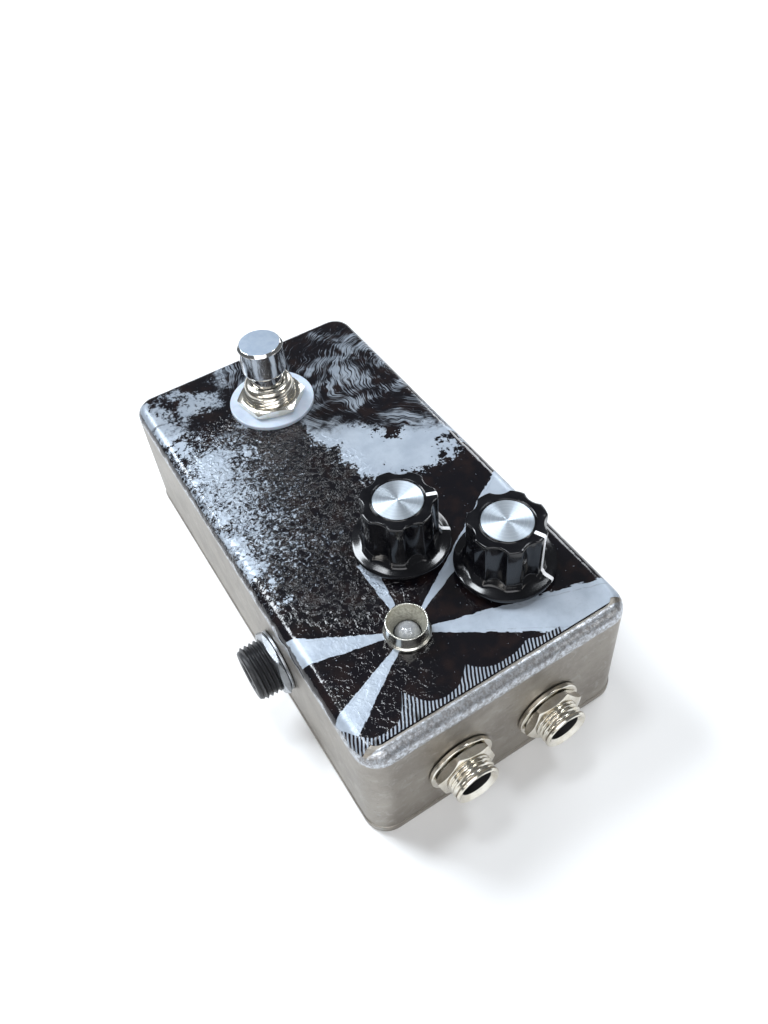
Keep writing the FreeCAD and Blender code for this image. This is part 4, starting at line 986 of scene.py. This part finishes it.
def build_footswitch():
    low, high, centre = spans("footswitch_bushing")
    x, y = centre.x, centre.y
    washer_low, washer_high = spans("nylon_washer")[:2]
    radius = (washer_high.x - washer_low.x) / 2
    thick = washer_high.z - washer_low.z
    hole = 6.05
    lathe("nylon_ring",
          [(hole, 0, 0.1), (radius, 0, 0.12), (radius, thick, 0.28), (hole, thick, 0.15)],
          (x, y, washer_low.z), "white_nylon", "root", ["nylon_washer"])

    nut_low, nut_high = spans("footswitch_nut")[:2]
    points, faces = nut_mesh(14.0, 5.7, nut_high.z - nut_low.z)
    points = placed(points, (x, y, nut_low.z), "Z", SWITCH_NUT_TURN)
    make_piece("footswitch_hex_nut", points, faces, "nickel", "root", ["footswitch_nut"])

    crown = high.z - 1.5
    screw = thread_rows(low.z, crown, 1.0, 5.6, 6.0)
    bore = 3.8

    def profile(angle):
        rise = [(5.75, crown + 0.12), (5.62, crown + 0.55), (5.35, crown + 0.95),
                (4.95, high.z - 0.22), (4.45, high.z - 0.05), (4.1, high.z),
                (bore + 0.05, high.z - 0.15), (bore, high.z - 0.45)]
        return screw(angle) + rise + [(bore, low.z)]

    points, faces = turned(profile, 96)
    make_piece("footswitch_collar", placed(points, (x, y, 0)), faces, "nickel", "root",
               ["footswitch_bushing"])

    low, high, centre = spans("footswitch_button")
    cap = (high.x - low.x) / 2
    foot = low.z
    lathe("footswitch_cap",
          [(0.02, foot + PLUNGER_HOLLOW, 0), (PLUNGER_BORE, foot + PLUNGER_HOLLOW, 0),
           (PLUNGER_BORE, foot, 0), (CAP_NECK, foot, 0.05), (CAP_NECK, 40.95, 0.3),
           (cap, 41.15, 1.1),
           (cap, high.z - 0.55, 0.12), (cap - 0.58, high.z, 0.14), (0.02, high.z, 0)],
          (centre.x, centre.y, 0), "polished_chrome", "footswitch_plunger", ["footswitch_button"],
          segments=128, sharp=50.0)


# ---------------------------------------------------------------- lamp

def build_lamp():
    low, high, centre = spans("led_bezel")
    place = (centre.x, centre.y, 0)
    flange = (high.x - low.x) / 2
    base = TOP + FILM
    lathe("lamp_bezel",
          [(2.62, low.z, 0), (3.9, low.z, 0), (3.9, base, 0), (flange, base, 0.1),
           (flange, base + 0.78, 0.22), (4.12, base + 1.05, 0.25), (4.02, high.z, 0.13),
           (3.74, high.z, 0.1), (3.5, high.z - 0.9, 0.4), (2.72, base + 0.3, 0.4),
           (2.62, base - 0.3, 0)],
          place, "polished_chrome", "root", ["led_bezel"], segments=112,
          finish=FINISHES["frosted_nickel"])
    low, high = spans("led")[:2]
    dome = 2.5
    corners = [(0.02, low.z, 0), (dome, low.z, 0)]
    corners += [(dome * math.cos(a), high.z - dome + dome * math.sin(a), 0)
                for a in (math.pi / 2 * step / 12 for step in range(12))]
    corners += [(0.02, high.z, 0)]
    lathe("lamp_lens", corners, place, "clear_lens", "root", ["led"], segments=64)
    lamp_insides(place, high)


def lamp_insides(place, high):
    """The stamped cup that shows inside the clear lens."""
    points, faces = turned(lambda angle: softened(
        [(0.25, 0.0, 0), (0.85, 0.0, 0.1), (0.95, 1.3, 0.1), (0.25, 0.9, 0.1)]), 24)
    make_piece("lamp_cup", placed(points, (place[0] + 0.35, place[1], high.z - 3.4)), faces,
               "tinned_lug", "root")


# ---------------------------------------------------------------- sockets on the walls

JACK_NUT_TURNS = {"1": 15.7, "2": 38.0}


def build_audio_jacks():
    nut_points, nut_faces, washer_points, washer_faces = [], [], [], []
    nut_low, nut_high = spans("jack_nuts")[:2]
    washer_low, washer_high = spans("jack_washers")[:2]
    for number, turn in JACK_NUT_TURNS.items():
        low, high, centre = spans("jack_" + number + "_barrel")
        x, z = centre.x, centre.z
        build_jack_barrel(number, low, high, x, z)
        points, faces = nut_mesh(11.6, 4.45, nut_high.y - nut_low.y)
        add_to(nut_points, nut_faces, placed(points, (x, nut_low.y, z), "Y", turn), faces)
        thick = washer_high.y - washer_low.y
        ring = softened([(4.8, 0, 0.05), (6.9, 0, 0.1), (6.9, thick, 0.25), (4.8, thick, 0.1)])
        points, faces = turned(lambda angle: ring, 96)
        add_to(washer_points, washer_faces, placed(points, (x, washer_low.y, z), "Y"), faces)
    make_piece("jack_hex_nuts", nut_points, nut_faces, "nickel", "root", ["jack_nuts"])
    make_piece("jack_ring_washers", washer_points, washer_faces, "nickel", "root",
               ["jack_washers"])


def add_to(points, faces, more_points, more_faces):
    base = len(points)
    points += more_points
    faces += [tuple(base + corner for corner in face) for face in more_faces]


def build_jack_barrel(number, low, high, x, z):
    """Threaded sleeve with a rolled, flared mouth, along +Y from inside the wall."""
    bore, crest, root = 3.2, 4.75, 4.38
    start, end = low.y, high.y
    screw = thread_rows(start, end - 1.15, 0.794, root, crest)

    def profile(angle):
        mouth = [(root - 0.05, end - 1.0), (crest - 0.12, end - 0.85), (crest - 0.03, end - 0.45),
                 (crest - 0.16, end - 0.14), (crest - 0.36, end), (crest - 0.50, end - 0.03),
                 (bore + 0.30, end - 0.70), (bore, end - 0.85)]
        return screw(angle) + mouth + [(bore, start)]

    points, faces = turned(profile, 96)
    # The sleeve's finish paints its bore dark: painted shade inside the hole.
    make_piece("jack_" + number + "_sleeve", placed(points, (x, 0, z), "Y"), faces, "nickel",
               "root", ["jack_" + number + "_barrel"], finish=FINISHES["nickel_painted_bore_shade"])


POWER_NUT_TURN = 52.0


def build_power_socket():
    low, high, centre = spans("dc_jack_barrel")
    y, z = centre.y, centre.z
    bore, deep = 3.0, 10.0
    end = high.x
    screw = thread_rows(30.3, end - 0.5, 1.0, 5.3, 5.8)

    def profile(angle):
        mouth = [(5.28, end - 0.30), (5.05, end - 0.05), (4.85, end), (bore + 0.45, end),
                 (bore + 0.12, end - 0.12), (bore, end - 0.45), (bore, end - deep),
                 (0.02, end - deep), (0.02, low.x), (5.3, low.x)]
        return screw(angle) + mouth

    points, faces = turned(profile, 96)
    make_piece("power_socket_barrel", placed(points, (0, y, z), "X"), faces, "black_moulding",
               "root", ["dc_jack_barrel"])
    nut_low, nut_high = spans("dc_jack_nut")[:2]
    points, faces = nut_mesh(13.16, 5.4, nut_high.x - nut_low.x)
    make_piece("power_socket_nut", placed(points, (nut_low.x, y, z), "X", POWER_NUT_TURN), faces,
               "zinc_steel", "root", ["dc_jack_nut"])
    washer_low, washer_high = spans("dc_jack_washer")[:2]
    thick = washer_high.x - washer_low.x
    lathe("power_socket_washer",
          [(5.9, 0, 0), (6.6, 0, 0.08), (6.6, thick, 0.2), (5.9, thick, 0.05)],
          (washer_low.x, y, z), "zinc_steel", "root", ["dc_jack_washer"], axis="X")
    low, high = spans("dc_jack_pin")[:2]
    pin = (high.z - low.z) / 2
    lathe("power_socket_pin",
          [(0.02, low.x, 0), (pin, low.x, 0), (pin, high.x, 0.35), (0.02, high.x, 0)],
          (0, y, z), "nickel", "root", ["dc_jack_pin"], axis="X", segments=48)


# ---------------------------------------------------------------- everything together

def dress_cad_nodes():
    """Give every carried-over CAD node the finish that its material slot names."""
    for node in NODES.values():
        for material_slot in node.material_slots:
            name = material_slot.material.name
            if name in FINISHES:
                material_slot.material = FINISHES[name]


def build_floor():
    mesh = bpy.data.meshes.new("floor")
    reach = 3.0
    corners = [(-reach, -reach, 0), (reach, -reach, 0), (reach, reach, 0), (-reach, reach, 0)]
    mesh.from_pydata(corners, [], [(0, 1, 2, 3)])
    mesh.materials.append(floor_finish())
    floor = bpy.data.objects.new("floor", mesh)
    bpy.context.scene.collection.objects.link(floor)


make_camera()
make_studio()
build_floor()
dress_cad_nodes()
build_film()
for knob_number, knob_turn in KNOBS.items():
    build_knob(knob_number, knob_turn)
build_footswitch()
build_lamp()
build_audio_jacks()
build_power_socket()
